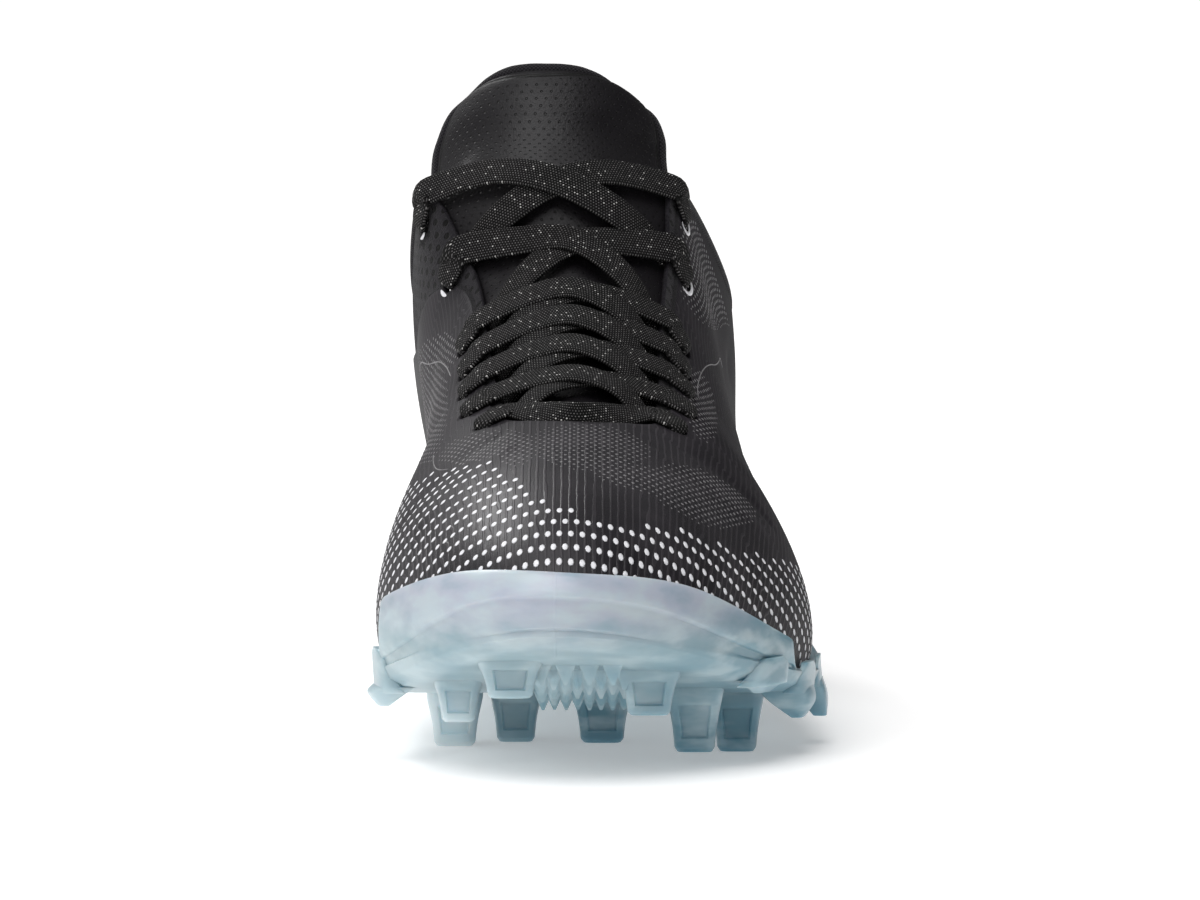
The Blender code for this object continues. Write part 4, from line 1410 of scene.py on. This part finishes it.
def build_plate(material):
    """Moulded plate with its rim, studs, fins and sawtooth field."""
    spokes = np.arange(PLATE_SPOKES) / PLATE_SPOKES * TURN
    rings = plate_rings(spokes)
    under = cap_rows(rings[0], underside_height)
    floor = cap_rows(rings[-1])
    points = np.concatenate([*rings, under.reshape(-1, 3), floor.reshape(-1, 3)])
    count = len(rings) * PLATE_SPOKES
    faces = [tuple(face) for face in grid_faces(len(rings), PLATE_SPOKES, close_columns=True)]
    faces.extend(cap_faces(0, count, PLATE_SPOKES))
    faces.extend(cap_faces(count - PLATE_SPOKES, count + under.shape[0] * under.shape[1], PLATE_SPOKES))
    piece = make_piece("stud_plate", points, faces, [material])
    blocks = [stud_rings(stud) for stud in STUDS]
    blocks.extend(shape(fin) for shape in (fin_rings, web_rings) for fin in FINS)
    blocks.extend(tooth_rings(*place) for place in np.ndindex(TOOTH_ROWS, TOOTH_COLUMNS))
    bm = bmesh.new()
    for block in blocks:
        add_loft(bm, block)
    bmesh.ops.recalc_face_normals(bm, faces=bm.faces)
    cut(piece, bm, "UNION", blocks_meet=True)
    piece.data.set_sharp_from_angle(angle=PLATE_SHARP)
    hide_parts("outsole")
    return piece


# Footbed: its thickness, its inset from the feather line, and how far its middle is dished
INSOLE_THICKNESS = 3.0
INSOLE_INSET = 2.5
FOOTBED_ROWS = 120
FOOTBED_ACROSS = 30
FOOTBED_END = 0.03
FOOTBED_DISH = 0.5
FOOTBED_SHARP = math.radians(50.0)


def build_footbed(material):
    """Cloth-topped footbed that rises a little towards its edge."""
    spokes = np.linspace(FOOTBED_END, TURN / 2.0 - FOOTBED_END, FOOTBED_ROWS)
    lateral, medial = (
        wall_point(side, 0.0) - INSOLE_INSET * feather_outward(side) for side in (spokes, TURN - spokes)
    )
    share = np.linspace(0.0, 1.0, FOOTBED_ACROSS)[None, :, None]
    below = lateral[:, None] + (medial - lateral)[:, None] * share
    edge = np.abs(2.0 * share - 1.0)
    above = below + (INSOLE_THICKNESS - FOOTBED_DISH + FOOTBED_DISH * edge**3) * UP
    points, faces = sheet(above, below)
    piece = make_piece("footbed", points, faces, [material])
    piece.data.set_sharp_from_angle(angle=FOOTBED_SHARP)
    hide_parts("insole")
    return piece


# Near-black painted shade at the bottom of holes and seams
PAINTED_HOLE_SHADE = (0.002, 0.002, 0.002)

# Skin: ribs along the vamp, fine grain, and a satin that is duller behind the toe and on the lateral side;
# the rib lines are painted lighter as a highlight
RIB_PITCH = 1.85
RIB_WAVER = 0.5
RIB_HEIGHT = 1.2
RIB_PAINTED_HIGHLIGHT = 0.3
RIB_LINE = Ramp(0.08, 0.2, 1.0, 0.0)
SKIN_WAVER = Grain(240.0, 2.0)
SKIN_GRAIN = Grain(2600.0, 2.0)
SKIN_BROAD = Grain(55.0)
SKIN_RELIEF = Relief(0.09, 0.8)
SKIN_SPECULAR = 0.3
SKIN_SATIN = Ramp(0.3, 0.7, 0.35, 0.45)
SKIN_MATTE_Y = Ramp(-0.11, -0.06, 0.0, 0.25)
SKIN_DULL_Y = Ramp(-0.1, -0.04)
SKIN_DULL_X = Ramp(-0.01, 0.025, 0.0, 0.2)
SKIN_SHEEN = Ramp(0.3, 0.95)


def skin_finish(colors):
    """Satin synthetic skin with fine ribs along the vamp, painted lighter along the rib lines as a highlight
    and in random broad patches.
    """
    finish = Finish("satin_skin", colors.skin, SKIN_SATIN.end, specular_ior_level=SKIN_SPECULAR)
    place = finish.place()
    x, y, _ = finish.split(place)
    run, _, ribbed = finish.split(finish.chart())
    beside = ((finish.noise(place, SKIN_WAVER) * RIB_WAVER + run) / RIB_PITCH).fract()
    line = finish.ramp(abs(beside - 0.5), RIB_LINE) * ribbed
    finish.bump(line * RIB_HEIGHT + finish.noise(place, SKIN_GRAIN), SKIN_RELIEF)
    broad = finish.noise(place, SKIN_BROAD)
    dull = finish.ramp(y, SKIN_DULL_Y) * finish.ramp(x, SKIN_DULL_X)
    finish.set("Specular IOR Level", SKIN_SPECULAR - dull)
    finish.set("Roughness", finish.ramp(broad, SKIN_SATIN) + finish.ramp(y, SKIN_MATTE_Y))
    # Painted highlight: the base colour turns lighter along the raised rib lines, and in random broad
    # patches
    sheen = finish.ramp(line * RIB_PAINTED_HIGHLIGHT + broad, SKIN_SHEEN)
    finish.set("Base Color", finish.blend(sheen, colors.skin, colors.skin_highlight_and_tone))
    return finish.material


# Collar: oval holes in staggered rows
COLLAR_CELLS = Cells(3.4, 3.0, 4.0, 3.4)
COLLAR_HOLE = Ramp(0.7, 1.1, 1.0, 0.0)
COLLAR_HOLE_DEPTH = -1.4
COLLAR_STRETCH = (3.0, 1.4, 1.0)
COLLAR_KNIT = Grain(1.2, 2.0)
COLLAR_RELIEF = Relief(0.35, 0.8)


def collar_finish(colors):
    """Perforated knit of the collar, with painted shade in the holes and a painted highlight on the raised
    knit.
    """
    finish = Finish(
        "collar_mesh", colors.textile, roughness=0.9, specular_ior_level=0.15, sheen_weight=0.06,
    )
    chart = finish.chart()
    run, rise, _ = finish.split(chart)
    _, _, away = finish.staggered(run, rise, COLLAR_CELLS)
    hole = finish.ramp(away, COLLAR_HOLE)
    knit = finish.noise(finish.scale(chart, COLLAR_STRETCH), COLLAR_KNIT)
    finish.bump(hole * COLLAR_HOLE_DEPTH + knit, COLLAR_RELIEF)
    # Painted highlight: the raised knit is painted lighter
    cloth = finish.blend(knit, colors.textile, colors.textile_raised_highlight)
    # Painted shade: the perforations are only bumped in and are painted near-black
    finish.set("Base Color", finish.blend(hole, cloth, PAINTED_HOLE_SHADE))
    return finish.material


LINING_THREADS = 1400.0
LINING_RELIEF = Relief(0.15, 0.6)
FOOTBED_THREADS = 1100.0
FOOTBED_RELIEF = Relief(0.2, 0.7)


def cloth_finish(name, colors, scale, relief, **inputs):
    """Soft dark cloth of fine threads, painted lighter on the raised threads as a highlight."""
    finish = Finish(name, colors.textile, roughness=0.95, **inputs)
    threads = finish.threads(scale)
    finish.bump(threads, relief)
    # Painted highlight: lighter where the threads stand highest
    finish.set("Base Color", finish.blend(threads, colors.textile, colors.textile_raised_highlight))
    return finish.material


# Knit tape: pitch of its stitches along and across, in millimetres
STITCH_PITCH = 0.9
STITCH_RIB_PITCH = 0.8
STITCH_HEIGHT = 0.5
STITCH_FUZZ = Grain(3.0, 2.0)
STITCH_RELIEF = Relief(0.22, 0.8)
STITCH_PAINTED_HIGHLIGHT = Ramp(-0.6, 0.9)


def binding_finish(colors):
    """Ribbed knit tape of the edges, painted lighter on the raised stitches as a highlight."""
    finish = Finish(
        "knit_binding", colors.textile, roughness=0.9, specular_ior_level=0.15, sheen_weight=0.08,
    )
    chart = finish.chart()
    run, side, _ = finish.split(chart)
    stitch = (run * (2.0 * math.pi / STITCH_PITCH)).sine()
    rib = (side * (2.0 * math.pi / STITCH_RIB_PITCH)).sine()
    weave = stitch * rib
    finish.bump(weave * STITCH_HEIGHT + finish.noise(chart, STITCH_FUZZ), STITCH_RELIEF)
    # Painted highlight: the raised stitches are painted lighter, the hollows between them darker
    light = finish.ramp(weave, STITCH_PAINTED_HIGHLIGHT)
    finish.set("Base Color", finish.blend(light, colors.textile, colors.textile_raised_highlight))
    return finish.material


INK_COVER = Grain(900.0)
INK_FULL = Ramp(0.35, 0.65)
INK_RELIEF = Relief(0.03, 0.5)


def ink_finish(name, color, shaded):
    """Printed ink with a slightly uneven cover."""
    finish = Finish(name, color, roughness=0.5)
    cover = finish.noise(finish.place(), INK_COVER)
    finish.bump(cover, INK_RELIEF)
    finish.set("Base Color", finish.blend(finish.ramp(cover, INK_FULL), shaded, color))
    return finish.material


# Tongue: pinholes inside a seam that follows the edge, in millimetres
TONGUE_CELLS = Cells(2.4, 1.9, 2.4, 1.9)
TONGUE_PINHOLE = Ramp(0.03, 0.14, 1.0, 0.0)
TONGUE_SEAM_INSET = 2.9
TONGUE_SEAM = Ramp(0.15, 0.6, 1.0, 0.0)
TONGUE_INNER = Ramp(4.0, 4.6)
TONGUE_HOLE_DEPTH = -2.2
TONGUE_GRAIN = Grain(1800.0)
TONGUE_BROAD = Grain(70.0)
TONGUE_RELIEF = Relief(0.12, 0.9)
TONGUE_SATIN = Ramp(0.3, 0.7, 0.38, 0.54)


def tongue_finish(colors):
    """Smooth synthetic with rows of fine pinholes and a seam near the edge, both painted near-black as
    shade.
    """
    finish = Finish("pinholed_synthetic", colors.tongue, TONGUE_SATIN.end, specular_ior_level=0.22)
    place = finish.place()
    across, along, inset = finish.split(finish.chart())
    seam = finish.ramp(abs(inset - TONGUE_SEAM_INSET), TONGUE_SEAM)
    _, _, away = finish.staggered(across, along, TONGUE_CELLS)
    hole = (finish.ramp(away, TONGUE_PINHOLE) * finish.ramp(inset, TONGUE_INNER)).larger(seam)
    finish.bump(hole * TONGUE_HOLE_DEPTH + finish.noise(place, TONGUE_GRAIN), TONGUE_RELIEF)
    finish.set("Roughness", finish.ramp(finish.noise(place, TONGUE_BROAD), TONGUE_SATIN))
    # Painted shade: the pinholes and the seam groove are painted near-black
    finish.set("Base Color", finish.blend(hole, colors.tongue, PAINTED_HOLE_SHADE))
    return finish.material


# Lace: cells of the weave in millimetres, and how its grey yarn and its flecks fill them
LACE_CELLS = Cells(0.72, 0.66)
LACE_YARN = Ramp(0.02, 0.26, 1.0, 0.0)
LACE_RELIEF = Relief(0.2, 0.9)
LACE_GREY_CHANCE = Ramp(0.0, 0.8, 0.45, 1.0)
LACE_GREY = Ramp(0.0, 0.075, 1.0, 0.0)
LACE_FLECK_CHANCE = 0.955
LACE_FLECK = Ramp(0.02, 0.11, 1.0, 0.0)


def lace_finish(colors):
    """Flat weave of dark yarn with grey middles and a few bright flecks."""
    finish = Finish("woven_yarn", colors.lace, roughness=0.85, specular_ior_level=0.2)
    run, side, _ = finish.split(finish.chart())
    row, column, away = finish.staggered(run, side, LACE_CELLS)
    cell = finish.node("ShaderNodeCombineXYZ", {0: row, 1: column})
    chance = finish.node("ShaderNodeTexWhiteNoise", {"Vector": cell}, "Value", noise_dimensions="2D")
    finish.bump(finish.ramp(away, LACE_YARN), LACE_RELIEF)
    grey = finish.ramp(chance, LACE_GREY_CHANCE) * finish.ramp(away, LACE_GREY)
    fleck = chance.above(LACE_FLECK_CHANCE) * finish.ramp(away, LACE_FLECK)
    yarn = finish.blend(grey, colors.lace, colors.lace_light)
    finish.set("Base Color", finish.blend(fleck, yarn, colors.lace_fleck))
    return finish.material


# Plate: clouds, and where its colours begin and end in metres along the axes that the names give
PLATE_STRETCH = (0.6, 0.8, 1.7)
PLATE_CLOUDS = Grain(110.0, 3.0, 0.5)
PLATE_RIPPLE = Grain(160.0, 2.0)
PLATE_RELIEF = Relief(0.25, 0.35)
PLATE_GLOSS = Ramp(0.3, 0.7, 0.3, 0.4)
PLATE_SCATTER = (1.0, 1.25, 1.4)
PLATE_SCATTER_DEPTH = 4.0
SEAM_HEIGHT = 0.5
SEAM_LINE = Ramp(0.1 * MM, 0.35 * MM, 1.0, 0.0)
SEAM_Y = Ramp(-0.130, -0.133)
# Painted shade: the plate turns to its deep colour under the foot, in the sawtooth field and towards the
# lateral side
INWARD_X = 2.0
INWARD_CLOUD = 0.02
INWARD_PAINTED_SHADE = Ramp(-0.115, -0.045)
LOW_Z = Ramp(0.022, 0.006)
TEETH_SHADE_X = Ramp(0.022, 0.012)
TEETH_SHADE_Y = Ramp(-0.108, -0.096)
TEETH_SHADE_Z = Ramp(0.027, 0.016, 0.0, 0.6)
LATERAL_SHADE_X = Ramp(-0.012, 0.04, 0.1, 0.75)
RIM_CLOUD = 0.006
RIM_Z = Ramp(0.031, 0.045, 0.0, 0.92)
MILK_CLOUD = Ramp(0.45, 0.68, 0.0, 0.6)
MURK_CLOUD = Ramp(0.5, 0.26, 0.0, 0.4)
# Painted light: the low studs on the medial side turn pale as if lit from the left
MEDIAL_LIGHT_X = Ramp(-0.024, -0.033, 0.0, 0.85)


def plate_finish(colors):
    """Milky translucent moulding, paler at the toe, with painted shade under the foot, in the sawtooth field
    and on the lateral side, and painted light on the low medial studs.
    """
    finish = Finish(
        "milky_plate", colors.plate_front, PLATE_GLOSS.start, ior=1.46,
        subsurface_weight=0.75, subsurface_radius=PLATE_SCATTER, subsurface_scale=PLATE_SCATTER_DEPTH * MM,
        transmission_weight=0.12, coat_weight=0.15, coat_roughness=0.2,
    )
    place = finish.place()
    x, y, z = finish.split(place)
    cloud = finish.noise(finish.scale(place, PLATE_STRETCH), PLATE_CLOUDS)
    seam = finish.ramp(abs(x - MOULD_SEAM_X * MM), SEAM_LINE) * finish.ramp(y, SEAM_Y)
    low = finish.ramp(z, LOW_Z)
    under = finish.ramp(cloud * INWARD_CLOUD + (x * INWARD_X + y), INWARD_PAINTED_SHADE) * low
    teeth_shade = finish.ramp(abs(x), TEETH_SHADE_X) * finish.ramp(y, TEETH_SHADE_Y) * finish.ramp(z, TEETH_SHADE_Z)
    # Painted shade: under the foot, in the sawtooth field and towards the lateral side
    depth = under.larger(teeth_shade.larger(finish.ramp(x, LATERAL_SHADE_X)))
    color = finish.blend(depth, colors.plate_front, colors.plate_shade_and_murk)
    color = finish.blend(finish.ramp(cloud * RIM_CLOUD + z, RIM_Z), color, colors.plate_rim)
    color = finish.blend(finish.ramp(cloud, MILK_CLOUD), color, colors.plate_cloud)
    color = finish.blend(finish.ramp(cloud, MURK_CLOUD), color, colors.plate_shade_and_murk)
    # Painted light on the low medial studs
    finish.set("Base Color", finish.blend(finish.ramp(x, MEDIAL_LIGHT_X) * low, color, colors.plate_painted_light))
    finish.set("Roughness", finish.ramp(cloud, PLATE_GLOSS))
    finish.bump(seam * SEAM_HEIGHT + finish.noise(place, PLATE_RIPPLE), PLATE_RELIEF)
    return finish.material


FLOOR_COLOR = (0.93, 0.93, 0.93)
FLOOR_GLOW = (1.0, 0.97, 0.96)
FLOOR_GLOW_STRENGTH = 0.27
FLOOR_FLECK = Grain(40.0, 2.0)
FLOOR_MATTE = Ramp(0.3, 0.7, 0.7, 0.8)


def floor_finish():
    """Pale matte studio floor."""
    finish = Finish(
        "studio_floor", FLOOR_COLOR, FLOOR_MATTE.start, specular_ior_level=0.1,
        emission_color=FLOOR_GLOW, emission_strength=FLOOR_GLOW_STRENGTH,
    )
    finish.set("Roughness", finish.ramp(finish.noise(finish.place(), FLOOR_FLECK), FLOOR_MATTE))
    return finish.material


def screen_color(name, description, red, green, blue):
    """Colour property whose default is written as it looks on screen, from 0 to 255."""
    return FloatVectorProperty(
        name=name, description=description, subtype="COLOR", size=3, min=0.0, max=1.0,
        default=tuple(float(value) for value in to_linear((red, green, blue))),
    )


def number(name, description, default, **settings):
    return FloatProperty(name=name, description=description, default=default, **settings)


def length(name, description, millimetres):
    return number(name, description, millimetres * MM, unit="LENGTH", precision=5)


class ShoeColors(bpy.types.PropertyGroup):
    """Colours of the shoe's finishes."""

    skin: screen_color("Skin", "Satin skin of the upper", 28, 26, 30)
    # Lighter skin colour for the painted highlight along the ribs and for random broad patches
    skin_highlight_and_tone: screen_color("Skin sheen", "Lighter places of the skin", 52, 49, 53)
    textile: screen_color("Textile", "Collar, lining and footbed cloth", 18, 17, 20)
    # Lighter cloth colour painted on the raised threads and stitches as a highlight
    textile_raised_highlight: screen_color("Textile light", "Raised threads of the cloth", 44, 42, 46)
    tongue: screen_color("Tongue", "Synthetic of the tongue", 19, 17, 20)
    white_ink: screen_color("White ink", "Dots of the toe", 240, 240, 244)
    white_ink_shade: screen_color("White ink shade", "Thin places of the white ink", 222, 222, 226)
    grey_ink: screen_color("Grey ink", "Small marks above the dots", 128, 126, 128)
    grey_ink_shade: screen_color("Grey ink shade", "Thin places of the grey ink", 96, 94, 96)
    lace: screen_color("Lace", "Dark yarn of the lace", 5, 5, 5)
    lace_light: screen_color("Lace light", "Grey yarn of the lace", 112, 110, 110)
    lace_fleck: screen_color("Lace fleck", "Bright flecks of the lace", 190, 188, 186)
    plate_front: screen_color("Plate front", "Plate at the toe", 168, 190, 197)
    # Painted shade under the ball and on the lateral side, and random murky clouds
    plate_shade_and_murk: screen_color("Plate deep", "Plate and studs under the ball", 110, 152, 168)
    plate_rim: screen_color("Plate rim", "Upper rim of the plate", 190, 195, 210)
    # Pale colour painted on the low medial studs as light
    plate_painted_light: screen_color("Plate pale", "Studs on the medial side", 232, 244, 248)
    plate_cloud: screen_color("Plate cloud", "Milky clouds in the plate", 198, 215, 220)


class ShoePrints(bpy.types.PropertyGroup):
    """Sizes of the printed lattice."""

    row_pitch: length("Row pitch", "Distance between rows of dots", 4.7)
    dot_pitch: length("Dot pitch", "Distance between dots along a row", 2.58)
    dash_row_pitch: length("Dash row pitch", "Distance between rows of grey marks", 1.5)
    dash_pitch: length("Dash pitch", "Distance between grey marks along a row", 1.95)
    dot_width: length("Dot width", "Width of a white dot", 1.42)
    dot_height: length("Dot height", "Height of a white dot", 2.35)
    dash_width: length("Dash width", "Width of a grey mark", 0.85)
    dash_height: length("Dash height", "Height of a grey mark", 0.95)
    ink_lift: length("Ink lift", "Thickness of the ink", 0.06)


class ShoeTrim(bpy.types.PropertyGroup):
    """Sizes of the collar's and the tongue's edges."""

    binding_height: length("Binding height", "Height of the collar's binding", 5.0)
    binding_thickness: length("Binding thickness", "Thickness of the collar's binding", 3.2)
    tongue_thickness: length("Tongue thickness", "Thickness of the padded tongue", 3.4)
    tongue_binding_width: length("Tongue binding width", "Width of the tongue's edge tape", 2.6)
    tongue_binding_thickness: length("Tongue binding thickness", "Thickness of the tongue's edge tape", 3.0)


class ShoeLacing(bpy.types.PropertyGroup):
    """Sizes of the lace."""

    lace_width: length("Lace width", "Width of the flat lace", 7.6)
    lace_thickness: length("Lace thickness", "Thickness of the flat lace", 1.35)


class ShoeStage(bpy.types.PropertyGroup):
    """Camera and light of the studio."""

    camera_distance: number("Camera distance", "From the camera to its target", 2.0, unit="LENGTH")
    camera_elevation: number(
        "Camera elevation", "Height of the view above level", math.radians(5.0), subtype="ANGLE",
    )
    camera_target: FloatVectorProperty(
        name="Camera target", description="Point at the middle of the picture", size=3,
        default=(0.0, -0.060, 0.0685), subtype="TRANSLATION", unit="LENGTH",
    )
    camera_lens: number("Camera lens", "Focal length in millimetres", 261.0, min=1.0)
    floor_radius: number("Floor radius", "Radius of the studio floor", 12.0, unit="LENGTH")
    sky_strength: number("Sky strength", "Brightness of the white surroundings", 0.25, min=0.0)


class BuildMixin:
    """Runs an operator's build step on the scene."""

    def execute(self, context):
        self.build(context.scene)
        return {"FINISHED"}


class SHOE_OT_upper(BuildMixin, bpy.types.Operator):
    """Make the skin, collar and lining as one shell"""

    bl_idname = "shoe.upper"
    bl_label = "Upper shell"

    def build(self, scene):
        colors = scene.shoe_colors
        lining = cloth_finish("lining_cloth", colors, LINING_THREADS, LINING_RELIEF, specular_ior_level=0.1)
        build_upper([skin_finish(colors), collar_finish(colors), lining])


class SHOE_OT_binding(BuildMixin, bpy.types.Operator):
    """Make the knit edge of the collar"""

    bl_idname = "shoe.binding"
    bl_label = "Collar binding"

    def build(self, scene):
        build_binding(binding_finish(scene.shoe_colors), scene.shoe_trim)


class SHOE_OT_prints(BuildMixin, bpy.types.Operator):
    """Print the white dots, the grey marks, the half rings and the grey lines on the skin"""

    bl_idname = "shoe.prints"
    bl_label = "Prints"

    def build(self, scene):
        colors = scene.shoe_colors
        prints = scene.shoe_prints
        lift = prints.ink_lift / MM
        white = ink_finish("white_ink", colors.white_ink, colors.white_ink_shade)
        print_marks("white_dots", white, white_marks(prints), prints.dot_width, prints.dot_height, lift)
        grey = ink_finish("grey_ink", colors.grey_ink, colors.grey_ink_shade)
        print_marks("grey_dashes", grey, grey_marks(prints), prints.dash_width, prints.dash_height, lift)
        print_lines("white_half_rings", white, [half_ring(ring) for ring in HALF_RINGS], 2.0 * lift)
        print_lines("grey_lines", grey, [grey_line(pixels) for pixels in GREY_LINES], lift)


class SHOE_OT_tongue(BuildMixin, bpy.types.Operator):
    """Make the padded tongue and its knit edge"""

    bl_idname = "shoe.tongue"
    bl_label = "Tongue"

    def build(self, scene):
        build_tongue(tongue_finish(scene.shoe_colors), scene.shoe_trim)
        build_tongue_binding(binding_finish(scene.shoe_colors), scene.shoe_trim)


class SHOE_OT_lace(BuildMixin, bpy.types.Operator):
    """Run the flat lace through the eyelets"""

    bl_idname = "shoe.lace"
    bl_label = "Lace"

    def build(self, scene):
        build_lace(lace_finish(scene.shoe_colors))


class SHOE_OT_plate(BuildMixin, bpy.types.Operator):
    """Make the moulded stud plate"""

    bl_idname = "shoe.plate"
    bl_label = "Stud plate"

    def build(self, scene):
        build_plate(plate_finish(scene.shoe_colors))


class SHOE_OT_footbed(BuildMixin, bpy.types.Operator):
    """Make the footbed inside the shell"""

    bl_idname = "shoe.footbed"
    bl_label = "Footbed"

    def build(self, scene):
        colors = scene.shoe_colors
        cloth = cloth_finish("footbed_cloth", colors, FOOTBED_THREADS, FOOTBED_RELIEF, sheen_weight=0.4)
        build_footbed(cloth)


Lamp = namedtuple("Lamp", "name kind x y z size power")

# Soft lights: a wide sun overhead with its angle, and round soft boxes with their width in metres and watts
LAMPS = (
    Lamp("overhead", "SUN", -0.25, -0.55, 1.5, math.radians(48.0), 2.15),
    Lamp("key_left", "AREA", -1.0, -1.3, 1.1, 0.7, 4.0),
    Lamp("glow_left", "AREA", -0.65, 1.0, 1.05, 0.4, 6.0),
    Lamp("fill_right", "AREA", 1.5, -1.0, 0.6, 0.6, 0.3),
)
LAMP_AIM = Vector((0.0, -0.03, 0.06))
FLOOR_SIDES = 96

# White surroundings: share of their strength on the left and the right, and where the change lies
SKY_LEFT = 1.8
SKY_RIGHT = 0.4
SKY_CHANGE = (-0.9, 0.6)


class SHOE_OT_stage(BuildMixin, bpy.types.Operator):
    """Set the floor, the soft lights and the camera"""

    bl_idname = "shoe.stage"
    bl_label = "Stage"

    def build(self, scene):
        make_floor(scene.shoe_stage)
        for lamp in LAMPS:
            make_lamp(lamp)
        make_sky(scene, scene.shoe_stage)
        make_camera(scene, scene.shoe_stage)
        scene.view_settings.view_transform = "Standard"


def make_floor(stage):
    bm = bmesh.new()
    bmesh.ops.create_circle(bm, cap_ends=True, segments=FLOOR_SIDES, radius=stage.floor_radius)
    mesh = bpy.data.meshes.new("floor")
    bm.to_mesh(mesh)
    bm.free()
    mesh.materials.append(floor_finish())
    floor = bpy.data.objects.new("floor", mesh)
    bpy.context.scene.collection.objects.link(floor)


def make_lamp(lamp):
    light = bpy.data.lights.new(lamp.name, lamp.kind)
    light.energy = lamp.power
    if lamp.kind == "SUN":
        light.angle = lamp.size
    else:
        light.shape = "DISK"
        light.size = lamp.size
    piece = bpy.data.objects.new(lamp.name, light)
    piece.location = (lamp.x, lamp.y, lamp.z)
    aim = LAMP_AIM - piece.location
    piece.rotation_euler = aim.to_track_quat("-Z", "Y").to_euler()
    bpy.context.scene.collection.objects.link(piece)


def make_sky(scene, stage):
    """White surroundings that are brighter on the left."""
    world = bpy.data.worlds.new("studio")
    world.use_nodes = True
    tree = world.node_tree
    background = tree.nodes["Background"]
    background.inputs["Color"].default_value = (1.0, 1.0, 1.0, 1.0)
    direction = tree.nodes.new("ShaderNodeTexCoord")
    split = tree.nodes.new("ShaderNodeSeparateXYZ")
    fade = tree.nodes.new("ShaderNodeMapRange")
    strengths = (stage.sky_strength * SKY_LEFT, stage.sky_strength * SKY_RIGHT)
    for socket, value in zip(fade.inputs[1:5], SKY_CHANGE + strengths):
        socket.default_value = value
    tree.links.new(direction.outputs["Generated"], split.inputs[0])
    tree.links.new(split.outputs[0], fade.inputs[0])
    tree.links.new(fade.outputs[0], background.inputs["Strength"])
    scene.world = world


def make_camera(scene, stage):
    data = bpy.data.cameras.new("camera")
    data.lens = stage.camera_lens
    data.sensor_width = SENSOR_WIDTH
    camera = bpy.data.objects.new("camera", data)
    tilt = stage.camera_elevation
    back = Vector((0.0, -math.cos(tilt), math.sin(tilt)))
    camera.location = Vector(stage.camera_target) + stage.camera_distance * back
    camera.rotation_euler = (math.pi / 2.0 - tilt, 0.0, 0.0)
    scene.collection.objects.link(camera)
    scene.camera = camera


PIECE_OPERATORS = (
    SHOE_OT_upper, SHOE_OT_binding, SHOE_OT_prints, SHOE_OT_tongue, SHOE_OT_lace, SHOE_OT_plate,
    SHOE_OT_footbed, SHOE_OT_stage,
)
SETTINGS = {
    "shoe_colors": ShoeColors,
    "shoe_prints": ShoePrints,
    "shoe_trim": ShoeTrim,
    "shoe_lacing": ShoeLacing,
    "shoe_stage": ShoeStage,
}


class SHOE_PT_panel(bpy.types.Panel):
    """Settings and pieces of the shoe"""

    bl_idname = "SHOE_PT_panel"
    bl_label = "Lacrosse shoe"
    bl_space_type = "VIEW_3D"
    bl_region_type = "UI"
    bl_category = "Shoe"

    def draw(self, context):
        for name, group in SETTINGS.items():
            box = self.layout.box()
            box.label(text=group.__doc__)
            for field in group.__annotations__:
                box.prop(getattr(context.scene, name), field)
        for operator in PIECE_OPERATORS:
            self.layout.operator(operator.bl_idname)


CLASSES = (*SETTINGS.values(), *PIECE_OPERATORS, SHOE_PT_panel)


def register():
    for item in CLASSES:
        bpy.utils.register_class(item)
    for name, group in SETTINGS.items():
        setattr(bpy.types.Scene, name, PointerProperty(type=group))


def unregister():
    for name in SETTINGS:
        delattr(bpy.types.Scene, name)
    for item in reversed(CLASSES):
        bpy.utils.unregister_class(item)


def main():
    register()
    for operator in PIECE_OPERATORS:
        group, name = operator.bl_idname.split(".")
        getattr(getattr(bpy.ops, group), name)()


if __name__ == "__main__":
    main()
